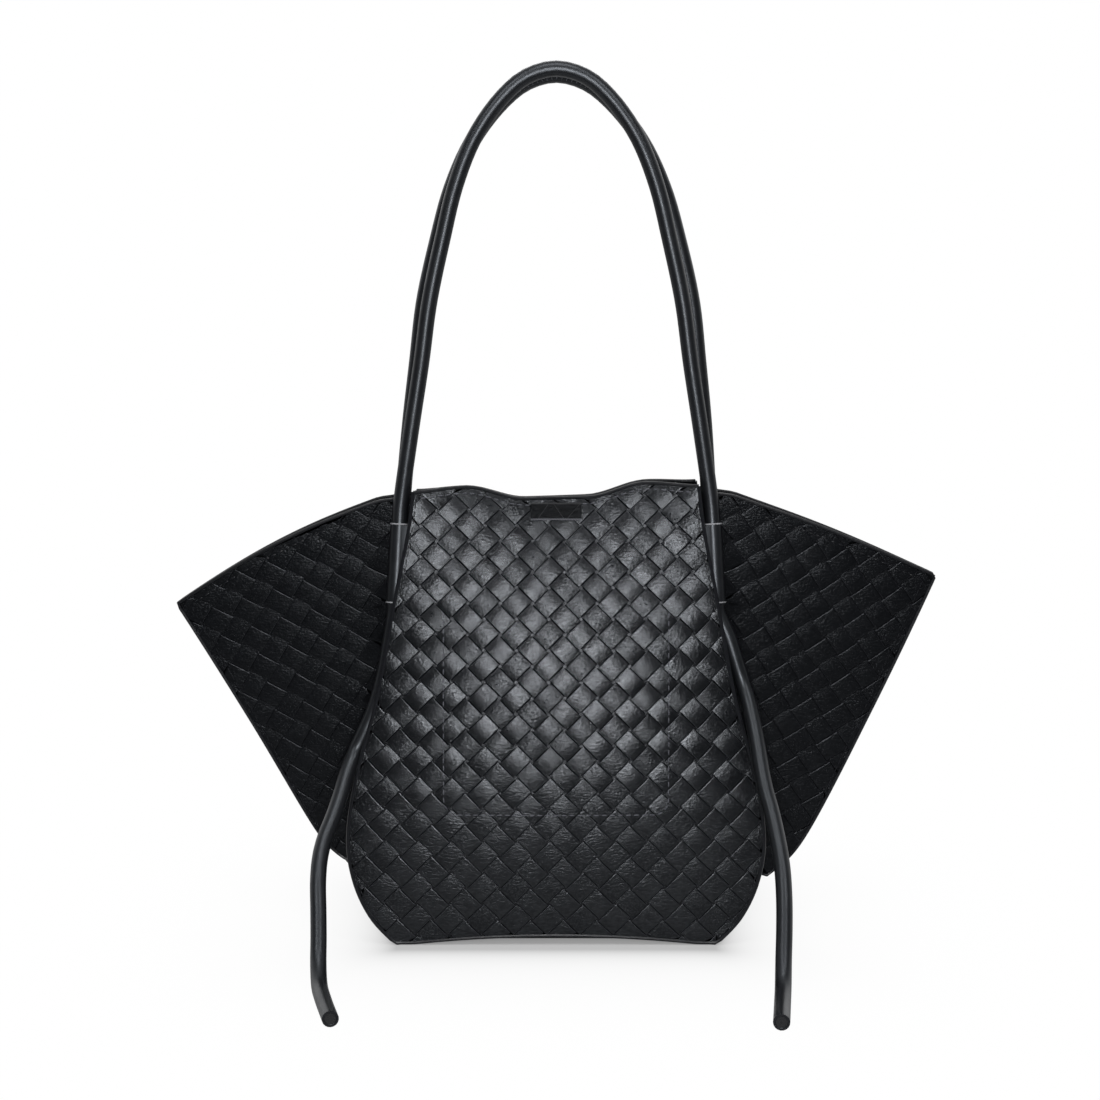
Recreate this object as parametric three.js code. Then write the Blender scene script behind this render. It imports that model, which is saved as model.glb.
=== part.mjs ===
// Woven leather tote bag with folded-out side gussets and rolled cord handles.
// Millimetres, +Z up, front at -Y, origin on the floor under the middle of the base.
import * as THREE from 'three';
import { mergeVertices } from 'three/addons/utils/BufferGeometryUtils.js';

// Clearances
const GAP = 0.3;
const LAYER_GAP = 0.5;
const SEAM_LAP = 5;
const CORD_LAP = 13;
const LAP_FROM = 53;
const LAP_FULL = 123;

// Front panel: height, depth at the side seam, belly and pinched mouth
const HEIGHT = 274;
const SEAM_DEPTH_LOW = 52;
const SEAM_DEPTH_TOP = 20;
const LEAN_POWER = 1.6;
const BELLY = 8;
const MOUTH_PINCH = 9;
const TOP_DIP = 8;
const DIP_FLAT = 0.22;
const HUMP_AT = 0.64;
const CORNER_DROP = 1.9;
const REAR_DROP = 3.6;
const WAVE_FADE = 60;
const FOOT_ARCH = 6;
const FOOT_FADE = 30;
const EDGE_TURN = 24;
const PANEL_T = 2.4;

// Half outline of the panel, from the foot up to the top corner
const OUTLINE = [
  [95.8, 0], [110.8, 16.5], [121, 39], [124.5, 66], [119, 103], [106.5, 150], [95.5, 209], [88, 249],
  [85, HEIGHT],
];

// Inside layers
const LINING_T = 0.7;
const LINING_LOW = 12;
const FACING_T = 1.2;
const FACING_H = 26;
const MAGNET = { width: 28, height: 9, thick: 2, below: 5 };
const COVER_EDGE = 3;
const COVER_T = 0.8;
const POCKET = { half: 67, low: 81, top: 201, belly: 14, thick: 0.9 };
const BOARD_T = 2;
const BOARD_EDGE = 11;
const BOARD_CORNER = 12;

// Gusset and wing
const PLY_T = 2;
const GUSSET_LOW = 32;
const GUSSET_DROP = 5;
const TURN_LOW = 12;
const TURN_HIGH = 3;
const CREASE_DROP = 9.3;
const CREASE_TOP = [107, 7.5, HEIGHT - CREASE_DROP];
const CREASE_LOW = [121.5, 2.7, 32.5];
const WING_TUCK = 2;
const TUCK_ROOM = 1;
const WING_SPAN = 460;
const TIP_DROP = 66;
const WING_TIP = [WING_SPAN / 2, HEIGHT - TIP_DROP];
const WING_FOLD = [[127, 31], [140, 41.5], [149, 53], [190, 130.5], WING_TIP];
const WING_ARC = 4;

// Cords and sleeves
const CORD_R = 4.75;
const CORD_SIDES = 10;
const ARCH_STEPS = 44;
const TAIL_STEPS = 22;
const SLEEVE_T = 1;
const SLEEVE_DROP = 23;
const SLEEVE_LONG = 47;
const SLEEVE_TOP = HEIGHT - SLEEVE_DROP;
const SLEEVE_LOW = SLEEVE_TOP - SLEEVE_LONG;
const MOUTH_BESIDE = 5.9;
const TAIL_BESIDE = -0.2;
const FLANGE_W = 4;
const FLANGE_T = 1.3;
const FLANGE_SET = 0.5;
const HANDLE_RISE = 245;
const APEX = HEIGHT + HANDLE_RISE;
const HANDLE_GAP = 0.8;
const REAR_SPREAD = 5.5;
const REAR_SHIFT = 1.2;
const REAR_SINK = 3.6;

// Half of the handle arch, from the apex down: half width and drop below the apex
const ARCH = [
  [0, 0], [17, 4.5], [31, 16], [47.5, 39], [59, 67], [67, 99], [75, 136], [80, 172], [86.3, 212],
];

// Tail routes from each sleeve to the cut end. Each runs down behind the panel's edge, then out past it.
// The front pair springs forward, the left one with a kink where it meets the floor.
const RIGHT_TAIL = [
  [102.9, -27.4, 184.7], [107.1, -29.3, 171.7], [111.4, -31.2, 158], [115, -37.2, 146.5],
  [117.4, -45.2, 135.6], [119.3, -53.9, 124.3], [120.8, -62.8, 113.2], [122.8, -71.8, 102.2],
  [125.6, -80.4, 91.9], [128.3, -91.3, 79.3], [130.4, -103.9, 65.1], [130.8, -116.1, 49.7],
  [130.2, -126.5, 34], [129.1, -136.7, 19.5], [128, -148.6, 8.6], [126.4, -163.7, 5.2],
  [122.8, -198.4, 5.1],
];
const LEFT_TAIL = [
  [-99.8, -28.4, 178.2], [-102.1, -30.2, 165.7], [-104.9, -31.8, 153.8], [-109, -33.5, 140.7],
  [-114.2, -34.9, 128.8], [-119.8, -36.6, 116.8], [-124.2, -45.5, 106.3], [-127.6, -56.6, 95.1],
  [-131.5, -67.4, 84], [-135.7, -77.2, 74], [-137.9, -86.6, 64.7], [-138.3, -97, 53.4],
  [-137.4, -107.5, 39.8], [-136.6, -117.7, 26.3], [-136.1, -127.1, 15.1], [-134.5, -140.9, 6.6],
  [-130.7, -161.1, 5.1], [-123.9, -193.1, 5.1],
];
// The rear pair hangs behind the bag and turns in along the floor.
const REAR_TAIL = [
  [100.5, 28.8, 175], [105.5, 31.8, 153], [112, 34.5, 133], [119.8, 36.6, 116], [124.2, 45, 104],
  [126, 56, 83], [125, 65, 63], [120.5, 73, 42.1], [113, 79.5, 22.6], [102.5, 85.5, 10], [90, 90, 5.6],
  [76, 93, 5.1], [62, 94.5, 5.1],
];

const group = new THREE.Group();
const leather = { color: 0x17181b, roughness: 0.45, metalness: 0 };
const cord = { color: 0x121315, roughness: 0.4, metalness: 0 };
const cloth = { color: 0x2a2b2e, roughness: 0.9, metalness: 0 };
const steel = { color: 0x8e9196, roughness: 0.35, metalness: 1 };
const board = { color: 0x6e6258, roughness: 0.9, metalness: 0 };

function add(name, geometry, look) {
  geometry.computeVertexNormals();
  const mesh = new THREE.Mesh(geometry, new THREE.MeshStandardMaterial(look));
  mesh.name = name;
  group.add(mesh);
}

// Keeps only positions and joins the corners, so the skin is closed.
function closed(geometry) {
  const bare = new THREE.BufferGeometry();
  bare.setAttribute('position', geometry.getAttribute('position').clone());
  if (geometry.index) bare.setIndex(Array.from(geometry.index.array));
  return mergeVertices(bare, 1e-4);
}

// Bends a thin block onto a surface: u runs across, v runs up, w runs from the inner face to the outer one.
function bent(across, up, place) {
  const block = new THREE.BoxGeometry(1, 1, 1, across, up, 1);
  const position = block.getAttribute('position');
  for (let i = 0; i < position.count; i += 1) {
    const p = place(position.getX(i) + 0.5, position.getY(i) + 0.5, position.getZ(i) + 0.5);
    position.setXYZ(i, p.x, p.y, p.z);
  }
  return closed(block);
}

// The same piece on the other side of the bag.
function mirrored(geometry, x, y) {
  const copy = geometry.clone().applyMatrix4(new THREE.Matrix4().makeScale(x, y, 1));
  if (x * y < 0) copy.setIndex(Array.from(copy.index.array).reverse());
  return copy;
}

function addFourTimes(name, geometry, look) {
  add(`right_${name}_front`, geometry, look);
  add(`right_${name}_rear`, mirrored(geometry, 1, -1), look);
  add(`left_${name}_front`, mirrored(geometry, -1, 1), look);
  add(`left_${name}_rear`, mirrored(geometry, -1, -1), look);
}

// Panel surface
const outline = new THREE.SplineCurve(OUTLINE.map(([x, z]) => new THREE.Vector2(x, z)));

// Where the outline reaches a height, as its place from 0 to 1 and its half width.
function outlineAt(z) {
  let low = 0;
  let high = 1;
  for (let i = 0; i < 40; i += 1) {
    const middle = (low + high) / 2;
    if (outline.getPoint(middle).y < z) low = middle;
    else high = middle;
  }
  return { v: low, half: outline.getPoint(low).x };
}

function seamDepth(z) {
  const lean = (SEAM_DEPTH_LOW - SEAM_DEPTH_TOP) * Math.max(0, z / HEIGHT) ** LEAN_POWER;
  return SEAM_DEPTH_LOW - lean;
}

// Distance of the panel's outer face from the middle of the bag.
function panelDepth(across, z) {
  const t = z / HEIGHT;
  const bulge = BELLY * Math.sin(Math.PI * Math.min(1, t)) - MOUTH_PINCH * t ** 4;
  return seamDepth(z) + bulge * (1 - across * across);
}

// The top edge falls from its two humps to the corners, and further to a flat dip at the magnet.
function topWave(across) {
  const out = Math.abs(across);
  const dip = TOP_DIP * (1 - THREE.MathUtils.smoothstep(out, DIP_FLAT, HUMP_AT));
  return -dip - CORNER_DROP * THREE.MathUtils.smoothstep(out, HUMP_AT, 1);
}

// The sewn lower edges lift off the floor between the corners.
function footArch(across) {
  return FOOT_ARCH * (1 - across * across);
}

// A layer of the front panel: half width, a height range, how far its faces lie behind the outer face,
// and how far its top has slumped.
function panelLayer(columns, rows, { low, high, edge, half, near, thick }, slump) {
  const v0 = outlineAt(low).v;
  const v1 = outlineAt(high).v;
  return bent(columns, rows, (u, v, w) => {
    const p = outline.getPoint(v0 + (v1 - v0) * v);
    const reach = half ? Math.min(half, p.x - edge) : p.x - edge;
    const x = (2 * u - 1) * reach;
    const across = x / p.x;
    const up = THREE.MathUtils.smoothstep(p.y, HEIGHT - WAVE_FADE, HEIGHT);
    const foot = 1 - THREE.MathUtils.smoothstep(p.y, 0, FOOT_FADE);
    const z = p.y + (topWave(across) - slump) * up + footArch(across) * foot;
    const behind = typeof near === 'function' ? near(u, v) : near;
    return new THREE.Vector3(x, -panelDepth(across, z) + behind + thick * (1 - w), z);
  });
}

// The rear panel slumps lower than the front one.
function addFrontAndRear(name, columns, rows, look, layer) {
  add(`front_${name}`, panelLayer(columns, rows, layer, 0), look);
  add(`rear_${name}`, mirrored(panelLayer(columns, rows, layer, REAR_DROP), 1, -1), look);
}

addFrontAndRear('panel', 14, 18, leather, {
  low: 0, high: HEIGHT, edge: 0, near: 0, thick: PANEL_T,
});

const facingNear = PANEL_T + LAYER_GAP;
const layerEdge = CORD_LAP + PLY_T + LAYER_GAP;
addFrontAndRear('facing', 14, 3, leather, {
  low: HEIGHT - FACING_H, high: HEIGHT - 1, edge: layerEdge, near: facingNear, thick: FACING_T,
});

const liningTop = HEIGHT - FACING_H - 10;
addFrontAndRear('lining', 10, 11, cloth, {
  low: LINING_LOW, high: liningTop, edge: layerEdge, near: facingNear, thick: LINING_T,
});

const magnetNear = facingNear + FACING_T + GAP;
const magnetTop = HEIGHT - MAGNET.below;
addFrontAndRear('magnet', 4, 2, steel, {
  low: magnetTop - MAGNET.height, high: magnetTop, edge: 0, half: MAGNET.width / 2, near: magnetNear,
  thick: MAGNET.thick,
});

addFrontAndRear('magnet_cover', 6, 3, leather, {
  low: magnetTop - MAGNET.height - COVER_EDGE, high: magnetTop + COVER_EDGE, edge: 0,
  half: MAGNET.width / 2 + COVER_EDGE, near: magnetNear + MAGNET.thick + GAP, thick: COVER_T,
});

const pocketNear = facingNear + LINING_T + GAP;
add('slip_pocket', panelLayer(10, 6, {
  low: POCKET.low, high: POCKET.top, edge: 0, half: POCKET.half,
  near: (u, v) => pocketNear + POCKET.belly * Math.sin(Math.PI * u) * v,
  thick: POCKET.thick,
}, 0), cloth);

// Base strip: flat under the bag with its long edges turned up to the panels' lower edges, then up inside
// the panels' lower corners, fullest in the middle of its end.
const baseHalfDepth = SEAM_DEPTH_LOW - PANEL_T - GAP;
const endTop = outlineAt(GUSSET_LOW - PANEL_T);
const endStart = OUTLINE[0][0] - SEAM_LAP;
const endBulge = CREASE_LOW[0] - endTop.half + SEAM_LAP / 2;

function baseLine(u) {
  const side = 2 * u - 1;
  const flat = 0.6;
  if (Math.abs(side) <= flat) return { x: (side / flat) * endStart, z: 0, rise: 0 };
  const rise = (Math.abs(side) - flat) / (1 - flat);
  const p = outline.getPoint(endTop.v * rise);
  const x = Math.max(endStart, p.x - SEAM_LAP / 2 - 2.5 * (1 - rise));
  return { x: Math.sign(side) * x, z: p.y * rise ** 0.35, rise };
}

function basePoint(u, v) {
  const line = baseLine(u);
  const depth = Math.min(baseHalfDepth, seamDepth(line.z) - PANEL_T - GAP);
  const y = (2 * v - 1) * depth;
  const full = endBulge * line.rise * (1 - (2 * v - 1) ** 2);
  const turned = line.rise > 0 ? 0 : footArch(line.x / endStart) * (2 * v - 1) ** EDGE_TURN;
  return new THREE.Vector3(line.x + Math.sign(line.x) * full, y, line.z + turned);
}

function normalAt(surface, u, v) {
  const step = 1e-3;
  const u0 = Math.max(0, u - step);
  const v0 = Math.max(0, v - step);
  const alongU = surface(Math.min(1, u + step), v).sub(surface(u0, v));
  const alongV = surface(u, Math.min(1, v + step)).sub(surface(u, v0));
  return alongU.cross(alongV).normalize();
}

// A ply of even thickness inside a surface whose u and v turn to its outward side.
function ply(across, up, thick, surface) {
  return bent(across, up, (u, v, w) => {
    const inward = normalAt(surface, u, v).multiplyScalar(-thick * (1 - w));
    return surface(u, v).add(inward);
  });
}

const baseOut = ply(20, 12, PANEL_T, (u, v) => basePoint(1 - u, v));
add('base_panel', baseOut, leather);

const boardShape = new THREE.Shape();
const boardX = endStart - BOARD_EDGE;
const boardY = baseHalfDepth - BOARD_EDGE;
boardShape.moveTo(boardX - BOARD_CORNER, -boardY);
boardShape.absarc(boardX - BOARD_CORNER, -boardY + BOARD_CORNER, BOARD_CORNER, -Math.PI / 2, 0);
boardShape.absarc(boardX - BOARD_CORNER, boardY - BOARD_CORNER, BOARD_CORNER, 0, Math.PI / 2);
boardShape.absarc(-boardX + BOARD_CORNER, boardY - BOARD_CORNER, BOARD_CORNER, Math.PI / 2, Math.PI);
boardShape.absarc(-boardX + BOARD_CORNER, -boardY + BOARD_CORNER, BOARD_CORNER, Math.PI, Math.PI * 1.5);

function floorLayer(low, thick) {
  const slab = new THREE.ExtrudeGeometry(boardShape, {
    depth: thick, bevelEnabled: false, curveSegments: 3,
  });
  slab.translate(0, 0, low);
  return closed(slab);
}

add('base_board', floorLayer(PANEL_T + GAP, BOARD_T), board);
add('base_lining', floorLayer(PANEL_T + BOARD_T + GAP * 2, LINING_T), cloth);

// Gusset: sewn near the panel's edge at the foot and further in above, where the cords run behind that edge.
function cordRoom(z) {
  return THREE.MathUtils.smoothstep(z, LAP_FROM, LAP_FULL);
}

function seamPoint(z) {
  const { half } = outlineAt(z);
  const room = cordRoom(z);
  const x = half - THREE.MathUtils.lerp(SEAM_LAP, CORD_LAP, room);
  const face = panelDepth(x / half, z);
  const depth = THREE.MathUtils.lerp(Math.min(seamDepth(z), face), face, room);
  return new THREE.Vector3(x, -(depth - PANEL_T - LAYER_GAP), z);
}

function creasePoint(v) {
  const low = new THREE.Vector3(CREASE_LOW[0], -CREASE_LOW[1], CREASE_LOW[2]);
  const top = new THREE.Vector3(CREASE_TOP[0], -CREASE_TOP[1], CREASE_TOP[2]);
  return low.lerp(top, v);
}

function gussetPoint(u, v) {
  const from = seamPoint(GUSSET_LOW + (HEIGHT - GUSSET_DROP - GUSSET_LOW) * v);
  const to = creasePoint(v);
  const room = cordRoom(from.z);
  const turnX = from.x + THREE.MathUtils.lerp(TURN_LOW, TURN_HIGH, room);
  const turnY = THREE.MathUtils.lerp(from.y, -CREASE_TOP[1], room);
  const curve = new THREE.QuadraticBezierCurve3(from, new THREE.Vector3(turnX, turnY, from.z), to);
  return curve.getPoint(u);
}

addFourTimes('gusset', ply(5, 12, PLY_T, gussetPoint), leather);

// Wing: tucked behind the gusset's edge at the crease, then flat to the fold where its plies are sewn.
const fold = new THREE.CatmullRomCurve3(
  WING_FOLD.map(([x, z]) => new THREE.Vector3(x, -(PLY_T + GAP / 2), z)), false, 'centripetal',
);

function wingPoint(u, v) {
  const from = creasePoint(v);
  from.x += GAP - (WING_TUCK + GAP) * v;
  from.y = -Math.max(PLY_T + GAP / 2, -from.y - PLY_T - TUCK_ROOM);
  const at = from.lerp(fold.getPointAt(v), u);
  at.z += WING_ARC * Math.sin(Math.PI * u) * v * v;
  return at;
}

addFourTimes('wing', bent(6, 10, (u, v, w) => {
  const p = wingPoint(u, v);
  p.y = Math.min(p.y + PLY_T * (1 - w), -GAP / 2);
  return p;
}), leather);

// Handles, sleeves and tails
function disc(radius) {
  const shape = new THREE.Shape();
  shape.absarc(0, 0, radius, 0, Math.PI * 2);
  return shape;
}

function cordAlong(points, steps) {
  const path = new THREE.CatmullRomCurve3(points, false, 'centripetal');
  return new THREE.ExtrudeGeometry(disc(CORD_R), {
    extrudePath: path, steps, curveSegments: CORD_SIDES / 2, bevelEnabled: false,
  });
}

// The middle of the cord, behind the panel by the sleeve's wall and a set distance past the panel's edge.
const sleeveR = CORD_R + SLEEVE_T;
function cordBehind(z, beside) {
  return new THREE.Vector3(outlineAt(z).half + beside, sleeveR + GAP + PANEL_T - seamDepth(z), z);
}

const mouth = cordBehind(SLEEVE_TOP, MOUTH_BESIDE);
const tailStart = cordBehind(SLEEVE_LOW, TAIL_BESIDE);
const archFoot = mouth.clone().addScaledVector(mouth.clone().sub(tailStart).normalize(), GAP);
const archRise = mouth.clone().addScaledVector(mouth.clone().sub(tailStart).normalize(), CORD_R * 2);
const apexY = -(CORD_R + HANDLE_GAP / 2);

function archPoint(x, z) {
  const lean = (z - archRise.z) / (APEX - archRise.z);
  return new THREE.Vector3(x, archRise.y + (apexY - archRise.y) * lean, z);
}

// Half of an arch, from the apex to its foot. The rear one stands wider and lower, and a little to one side.
function archHalf(side, spread, shift, sink) {
  const points = ARCH.map(([x, drop]) => {
    const share = drop / (APEX - archRise.z);
    const wide = Math.sin(Math.PI * share);
    return archPoint(side * (x + spread * wide) + shift * wide, APEX - drop - sink * (1 - share));
  });
  return points.concat([archRise, archFoot].map((p) => new THREE.Vector3(side * p.x, p.y, p.z)));
}

function handle(spread, shift, sink) {
  const left = archHalf(-1, spread, shift, sink).slice(1).reverse();
  return closed(cordAlong(left.concat(archHalf(1, spread, shift, sink)), ARCH_STEPS));
}

add('front_handle', handle(0, 0, 0), cord);
add('rear_handle', mirrored(handle(REAR_SPREAD, REAR_SHIFT, REAR_SINK), 1, -1), cord);

// A sleeve is a strip wrapped round the cord, with its edge sewn flat behind the panel.
function sleeve() {
  const shape = new THREE.Shape();
  const top = sleeveR - FLANGE_SET;
  const low = top - FLANGE_T;
  const start = Math.asin(top / sleeveR);
  shape.moveTo(sleeveR + FLANGE_W, low);
  shape.lineTo(sleeveR + FLANGE_W, top);
  shape.lineTo(sleeveR * Math.cos(start), top);
  shape.absarc(0, 0, sleeveR, start, Math.PI * 2 + Math.asin(low / sleeveR));
  const length = mouth.distanceTo(tailStart);
  const body = new THREE.ExtrudeGeometry(shape, { depth: length, bevelEnabled: false, curveSegments: 7 });
  const up = mouth.clone().sub(tailStart).normalize();
  const front = new THREE.Vector3(0, -1, 0).addScaledVector(up, up.y).normalize();
  const side = front.clone().cross(up);
  body.applyMatrix4(new THREE.Matrix4().makeBasis(side, front, up).setPosition(tailStart));
  return closed(body);
}

addFourTimes('sleeve', sleeve(), cord);

function tail(route, x, y) {
  const down = tailStart.clone().sub(mouth).normalize();
  const start = tailStart.clone().addScaledVector(down, GAP);
  const next = start.clone().addScaledVector(down, CORD_R);
  const points = [start, next].map((p) => new THREE.Vector3(p.x * x, p.y * y, p.z));
  return points.concat(route.map((p) => new THREE.Vector3(...p)));
}

function addTail(name, route, x, y) {
  add(name, closed(cordAlong(tail(route, x, y), TAIL_STEPS)), cord);
}

addTail('right_tail_front', RIGHT_TAIL, 1, 1);
addTail('left_tail_front', LEFT_TAIL, -1, 1);
addTail('right_tail_rear', REAR_TAIL, 1, -1);
addTail('left_tail_rear', REAR_TAIL.map(([x, y, z]) => [-x, y, z]), -1, -1);

export default group;
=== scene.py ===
"""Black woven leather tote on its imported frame, with folded-out sides, cord handles and cut cord tails."""

import math
import random
from bisect import bisect_left

import bmesh
import bpy
from mathutils import Matrix, Vector
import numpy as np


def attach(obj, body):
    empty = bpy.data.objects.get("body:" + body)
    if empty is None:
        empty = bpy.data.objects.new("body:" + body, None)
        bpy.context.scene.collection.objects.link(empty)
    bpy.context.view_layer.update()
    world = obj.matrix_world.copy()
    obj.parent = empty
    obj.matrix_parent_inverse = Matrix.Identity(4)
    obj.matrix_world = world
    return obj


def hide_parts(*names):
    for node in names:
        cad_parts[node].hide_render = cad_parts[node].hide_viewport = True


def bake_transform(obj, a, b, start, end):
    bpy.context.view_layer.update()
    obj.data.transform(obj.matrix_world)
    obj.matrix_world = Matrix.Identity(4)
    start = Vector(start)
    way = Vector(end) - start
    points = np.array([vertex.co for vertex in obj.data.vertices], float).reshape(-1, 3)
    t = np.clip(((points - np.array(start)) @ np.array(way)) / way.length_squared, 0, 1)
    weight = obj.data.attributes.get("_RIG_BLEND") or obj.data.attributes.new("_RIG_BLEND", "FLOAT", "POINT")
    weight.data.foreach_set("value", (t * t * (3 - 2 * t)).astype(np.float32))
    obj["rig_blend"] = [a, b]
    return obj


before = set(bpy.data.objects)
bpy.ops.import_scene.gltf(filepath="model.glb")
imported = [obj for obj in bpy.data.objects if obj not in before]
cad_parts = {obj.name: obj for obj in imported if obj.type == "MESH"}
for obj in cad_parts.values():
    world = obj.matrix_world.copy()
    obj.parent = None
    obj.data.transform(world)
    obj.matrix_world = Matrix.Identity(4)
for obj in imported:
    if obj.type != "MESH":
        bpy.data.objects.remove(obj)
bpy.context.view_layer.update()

bl_info = {
    "name": "Woven Tote",
    "version": (1, 0, 0),
    "blender": (4, 5, 0),
    "location": "View3D > Sidebar > Woven Tote",
    "description": "Models a woven leather tote with cord handles on its packed frame",
    "category": "Object",
}

# Shared shape, in millimetres, as the part's source has it
MM = 0.001
HEIGHT = 274.0
SEAM_DEPTH_LOW = 52.0
SEAM_DEPTH_TOP = 20.0
LEAN_POWER = 1.6
BELLY = 8.0
MOUTH_PINCH = 9.0
TOP_DIP = 8.0
DIP_FLAT = 0.22
HUMP_AT = 0.64
CORNER_DROP = 1.9
REAR_DROP = 3.6
WAVE_FADE = 60.0
FOOT_ARCH = 6.0
FOOT_FADE = 30.0
EDGE_TURN = 24
PANEL_T = 2.4
SEAM_LAP = 5.0
CORD_LAP = 13.0
LAP_FROM = 53.0
LAP_FULL = 123.0
LAYER_GAP = 0.5
GAP = 0.3
OUTLINE = [
    (95.8, 0), (110.8, 16.5), (121, 39), (124.5, 66), (119, 103), (106.5, 150), (95.5, 209), (88, 249),
    (85, 274),
]

PLY_T = 2.0
GUSSET_LOW = 32.0
GUSSET_DROP = 5.0
TURN_LOW = 12.0
TURN_HIGH = 3.0
CREASE_TOP = Vector((107, -7.5, 264.7))
CREASE_LOW = Vector((121.5, -2.7, 32.5))
WING_FOLD = [(127, 31), (140, 41.5), (149, 53), (190, 130.5), (230, 208)]
WING_ARC = 4.0

CORD_R = 4.75
CORD_SIDES = 18
SLEEVE_R = 5.75
SLEEVE_INSET = 0.25
SLEEVE_SHORT = 0.6
SLEEVE_SLIP = 0.05
LIP_R = 0.5
LIP_IN = 0.4
FLANGE_WIDE = 8.0
FLANGE_T = 1.1
FLANGE_ROUND = 0.4
FLANGE_SHORT = 2
FLANGE_AT = (SLEEVE_R - 0.2, SLEEVE_R - 1.15, 0)
SLEEVE_TOP = 251.0
SLEEVE_LOW = 204.0
MOUTH_BESIDE = 5.9
TAIL_BESIDE = -0.2
APEX = 519.0
HANDLE_GAP = 0.8
HANDLE_IN = 8.0
REAR_SPREAD = 5.5
REAR_SHIFT = 1.2
REAR_SINK = 3.6
ARCH = [(0, 0), (17, 4.5), (31, 16), (47.5, 39), (59, 67), (67, 99), (75, 136), (80, 172), (86.3, 212)]

# The stretch over which a handle bends as it flops, from below its sleeve's mouth and tilted, so that the
# cord keeps its thickness
BEND_LONG = 90.0
BEND_LOW = 22.0
BEND_TILT = 0.5

# How far to each side of its crease a wing bends
WING_BEND = 12.0

# The whipped seam along the cords: stitch to stitch, how deep it sinks, how far it turns from the bag and how
# many points of a handle's line it leaves bare at each end
WHIP_PITCH = 3.0
WHIP_SUNK_TAIL = 0.25
WHIP_SUNK_HANDLE = 0.2
WHIP_TURN = 0.3
WHIP_BARE = 3

# Tail routes from below each sleeve to the cut end
RIGHT_TAIL = [
    (102.9, -27.4, 184.7), (107.1, -29.3, 171.7), (111.4, -31.2, 158), (115, -37.2, 146.5),
    (117.4, -45.2, 135.6), (119.3, -53.9, 124.3), (120.8, -62.8, 113.2), (122.8, -71.8, 102.2),
    (125.6, -80.4, 91.9), (128.3, -91.3, 79.3), (130.4, -103.9, 65.1), (130.8, -116.1, 49.7),
    (130.2, -126.5, 34), (129.1, -136.7, 19.5), (128, -148.6, 8.6), (126.4, -163.7, 5.2),
    (122.8, -198.4, 5.1),
]
LEFT_TAIL = [
    (-99.8, -28.4, 178.2), (-102.1, -30.2, 165.7), (-104.9, -31.8, 153.8), (-109, -33.5, 140.7),
    (-114.2, -34.9, 128.8), (-119.8, -36.6, 116.8), (-124.2, -45.5, 106.3), (-127.6, -56.6, 95.1),
    (-131.5, -67.4, 84), (-135.7, -77.2, 74), (-137.9, -86.6, 64.7), (-138.3, -97, 53.4),
    (-137.4, -107.5, 39.8), (-136.6, -117.7, 26.3), (-136.1, -127.1, 15.1), (-134.5, -140.9, 6.6),
    (-130.7, -161.1, 5.1), (-123.9, -193.1, 5.1),
]
REAR_TAIL = [
    (100.5, 28.8, 175), (105.5, 31.8, 153), (112, 34.5, 133), (119.8, 36.6, 116), (124.2, 45, 104),
    (126, 56, 83), (125, 65, 63), (120.5, 73, 42.1), (113, 79.5, 22.6), (102.5, 85.5, 10), (90, 90, 5.6),
    (76, 93, 5.1), (62, 94.5, 5.1),
]

# Inside layers
LAYER_EDGE = CORD_LAP + PLY_T + LAYER_GAP
LAYER_BEHIND = PANEL_T + LAYER_GAP
LINING_LOW = 12.0
LINING_T = 0.7
LINING_TUCK = 10
FACING_H = 26.0
FACING_T = 1.2
FACING_ROW = 0.12
POCKET_HALF = 67.0
POCKET_LOW = 81.0
POCKET_TOP = 201.0
POCKET_BELLY = 14.0
POCKET_CORNER = 9.0
POCKET_BEHIND = 3.9
POCKET_T = 0.9
MAGNET_HALF = 14.0
MAGNET_LOW = 260.0
MAGNET_TOP = 269.0
COVER_EDGE = 3.0
COVER_BEHIND = 6.7
COVER_PRESS = 2.2
COVER_T = 0.8
BOARD = Vector((79.8, 38.3))
BOARD_CORNER = 12.0
BOARD_TOP = 5.7

# How the soft bag in the photo sags to its left, which only the looks show
TOP_TILT = 1.9
REAR_TILT = 1.2
SIDE_TILT = 1.65
TIP_LIFT = 7.1
FOLD_SWAY = 7.5

# The weave's tiles on flat leather, then on the panel at its foot with what they lose for each millimetre up
TILE_WIDE = 19.2
TILE_TALL = 18.5
FOOT_WIDE = 19.9
FOOT_TALL = 20.0
WIDE_LOSS = 0.0035
TALL_LOSS = 0.009

# Where each weave has a crossing, the flat area that it covers, and what sets the sides' weave apart, whose
# lower
# shine is painted shade: the same leather, dimmed because the sides catch less light
PANEL_WEAVE = (-4.4, 206.0)
PANEL_AREA = (-125, -2, 125, 288)
PANEL_EASE = (60.0, 130.0)
SIDE_WEAVE = (150.0, 208.0)
SIDE_AREA = (66, 27, 234, 277)
SIDE_TURN = math.radians(-13)
SIDE_RELIEF = 0.4
SIDE_SHADED_SHINE = 0.13
SIDE_EDGE = 0.85
BASE_WEAVE = (0.0, 0.0)
BASE_AREA = (-160, -50, 160, 50)

# The sheet behind the strips: how far inside the outer face it lies, how much thinner than the leather it is,
# and the painted shade that darkens it where it shows between the strips
BACKING_IN = 1.1
BACKING_LESS = 1.2
BASE_BACKING_IN = 1.3
BASE_BACKING_LESS = 1.4
BACKING_PAINTED_SHADE = -0.25

# How far inside the base's outer face its weave lies, which is just under the base's own sheet
BASE_SUNK = 1.5

# Sewing: how far rows lie inside the top edge, the side edges and the side ply's face, and how far a stitch
# stands out
TOP_ROW = 3.4
SIDE_ROW = 2.4
SIDE_ROW_IN = 0.6
STITCH_OUT = 0.15
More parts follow.
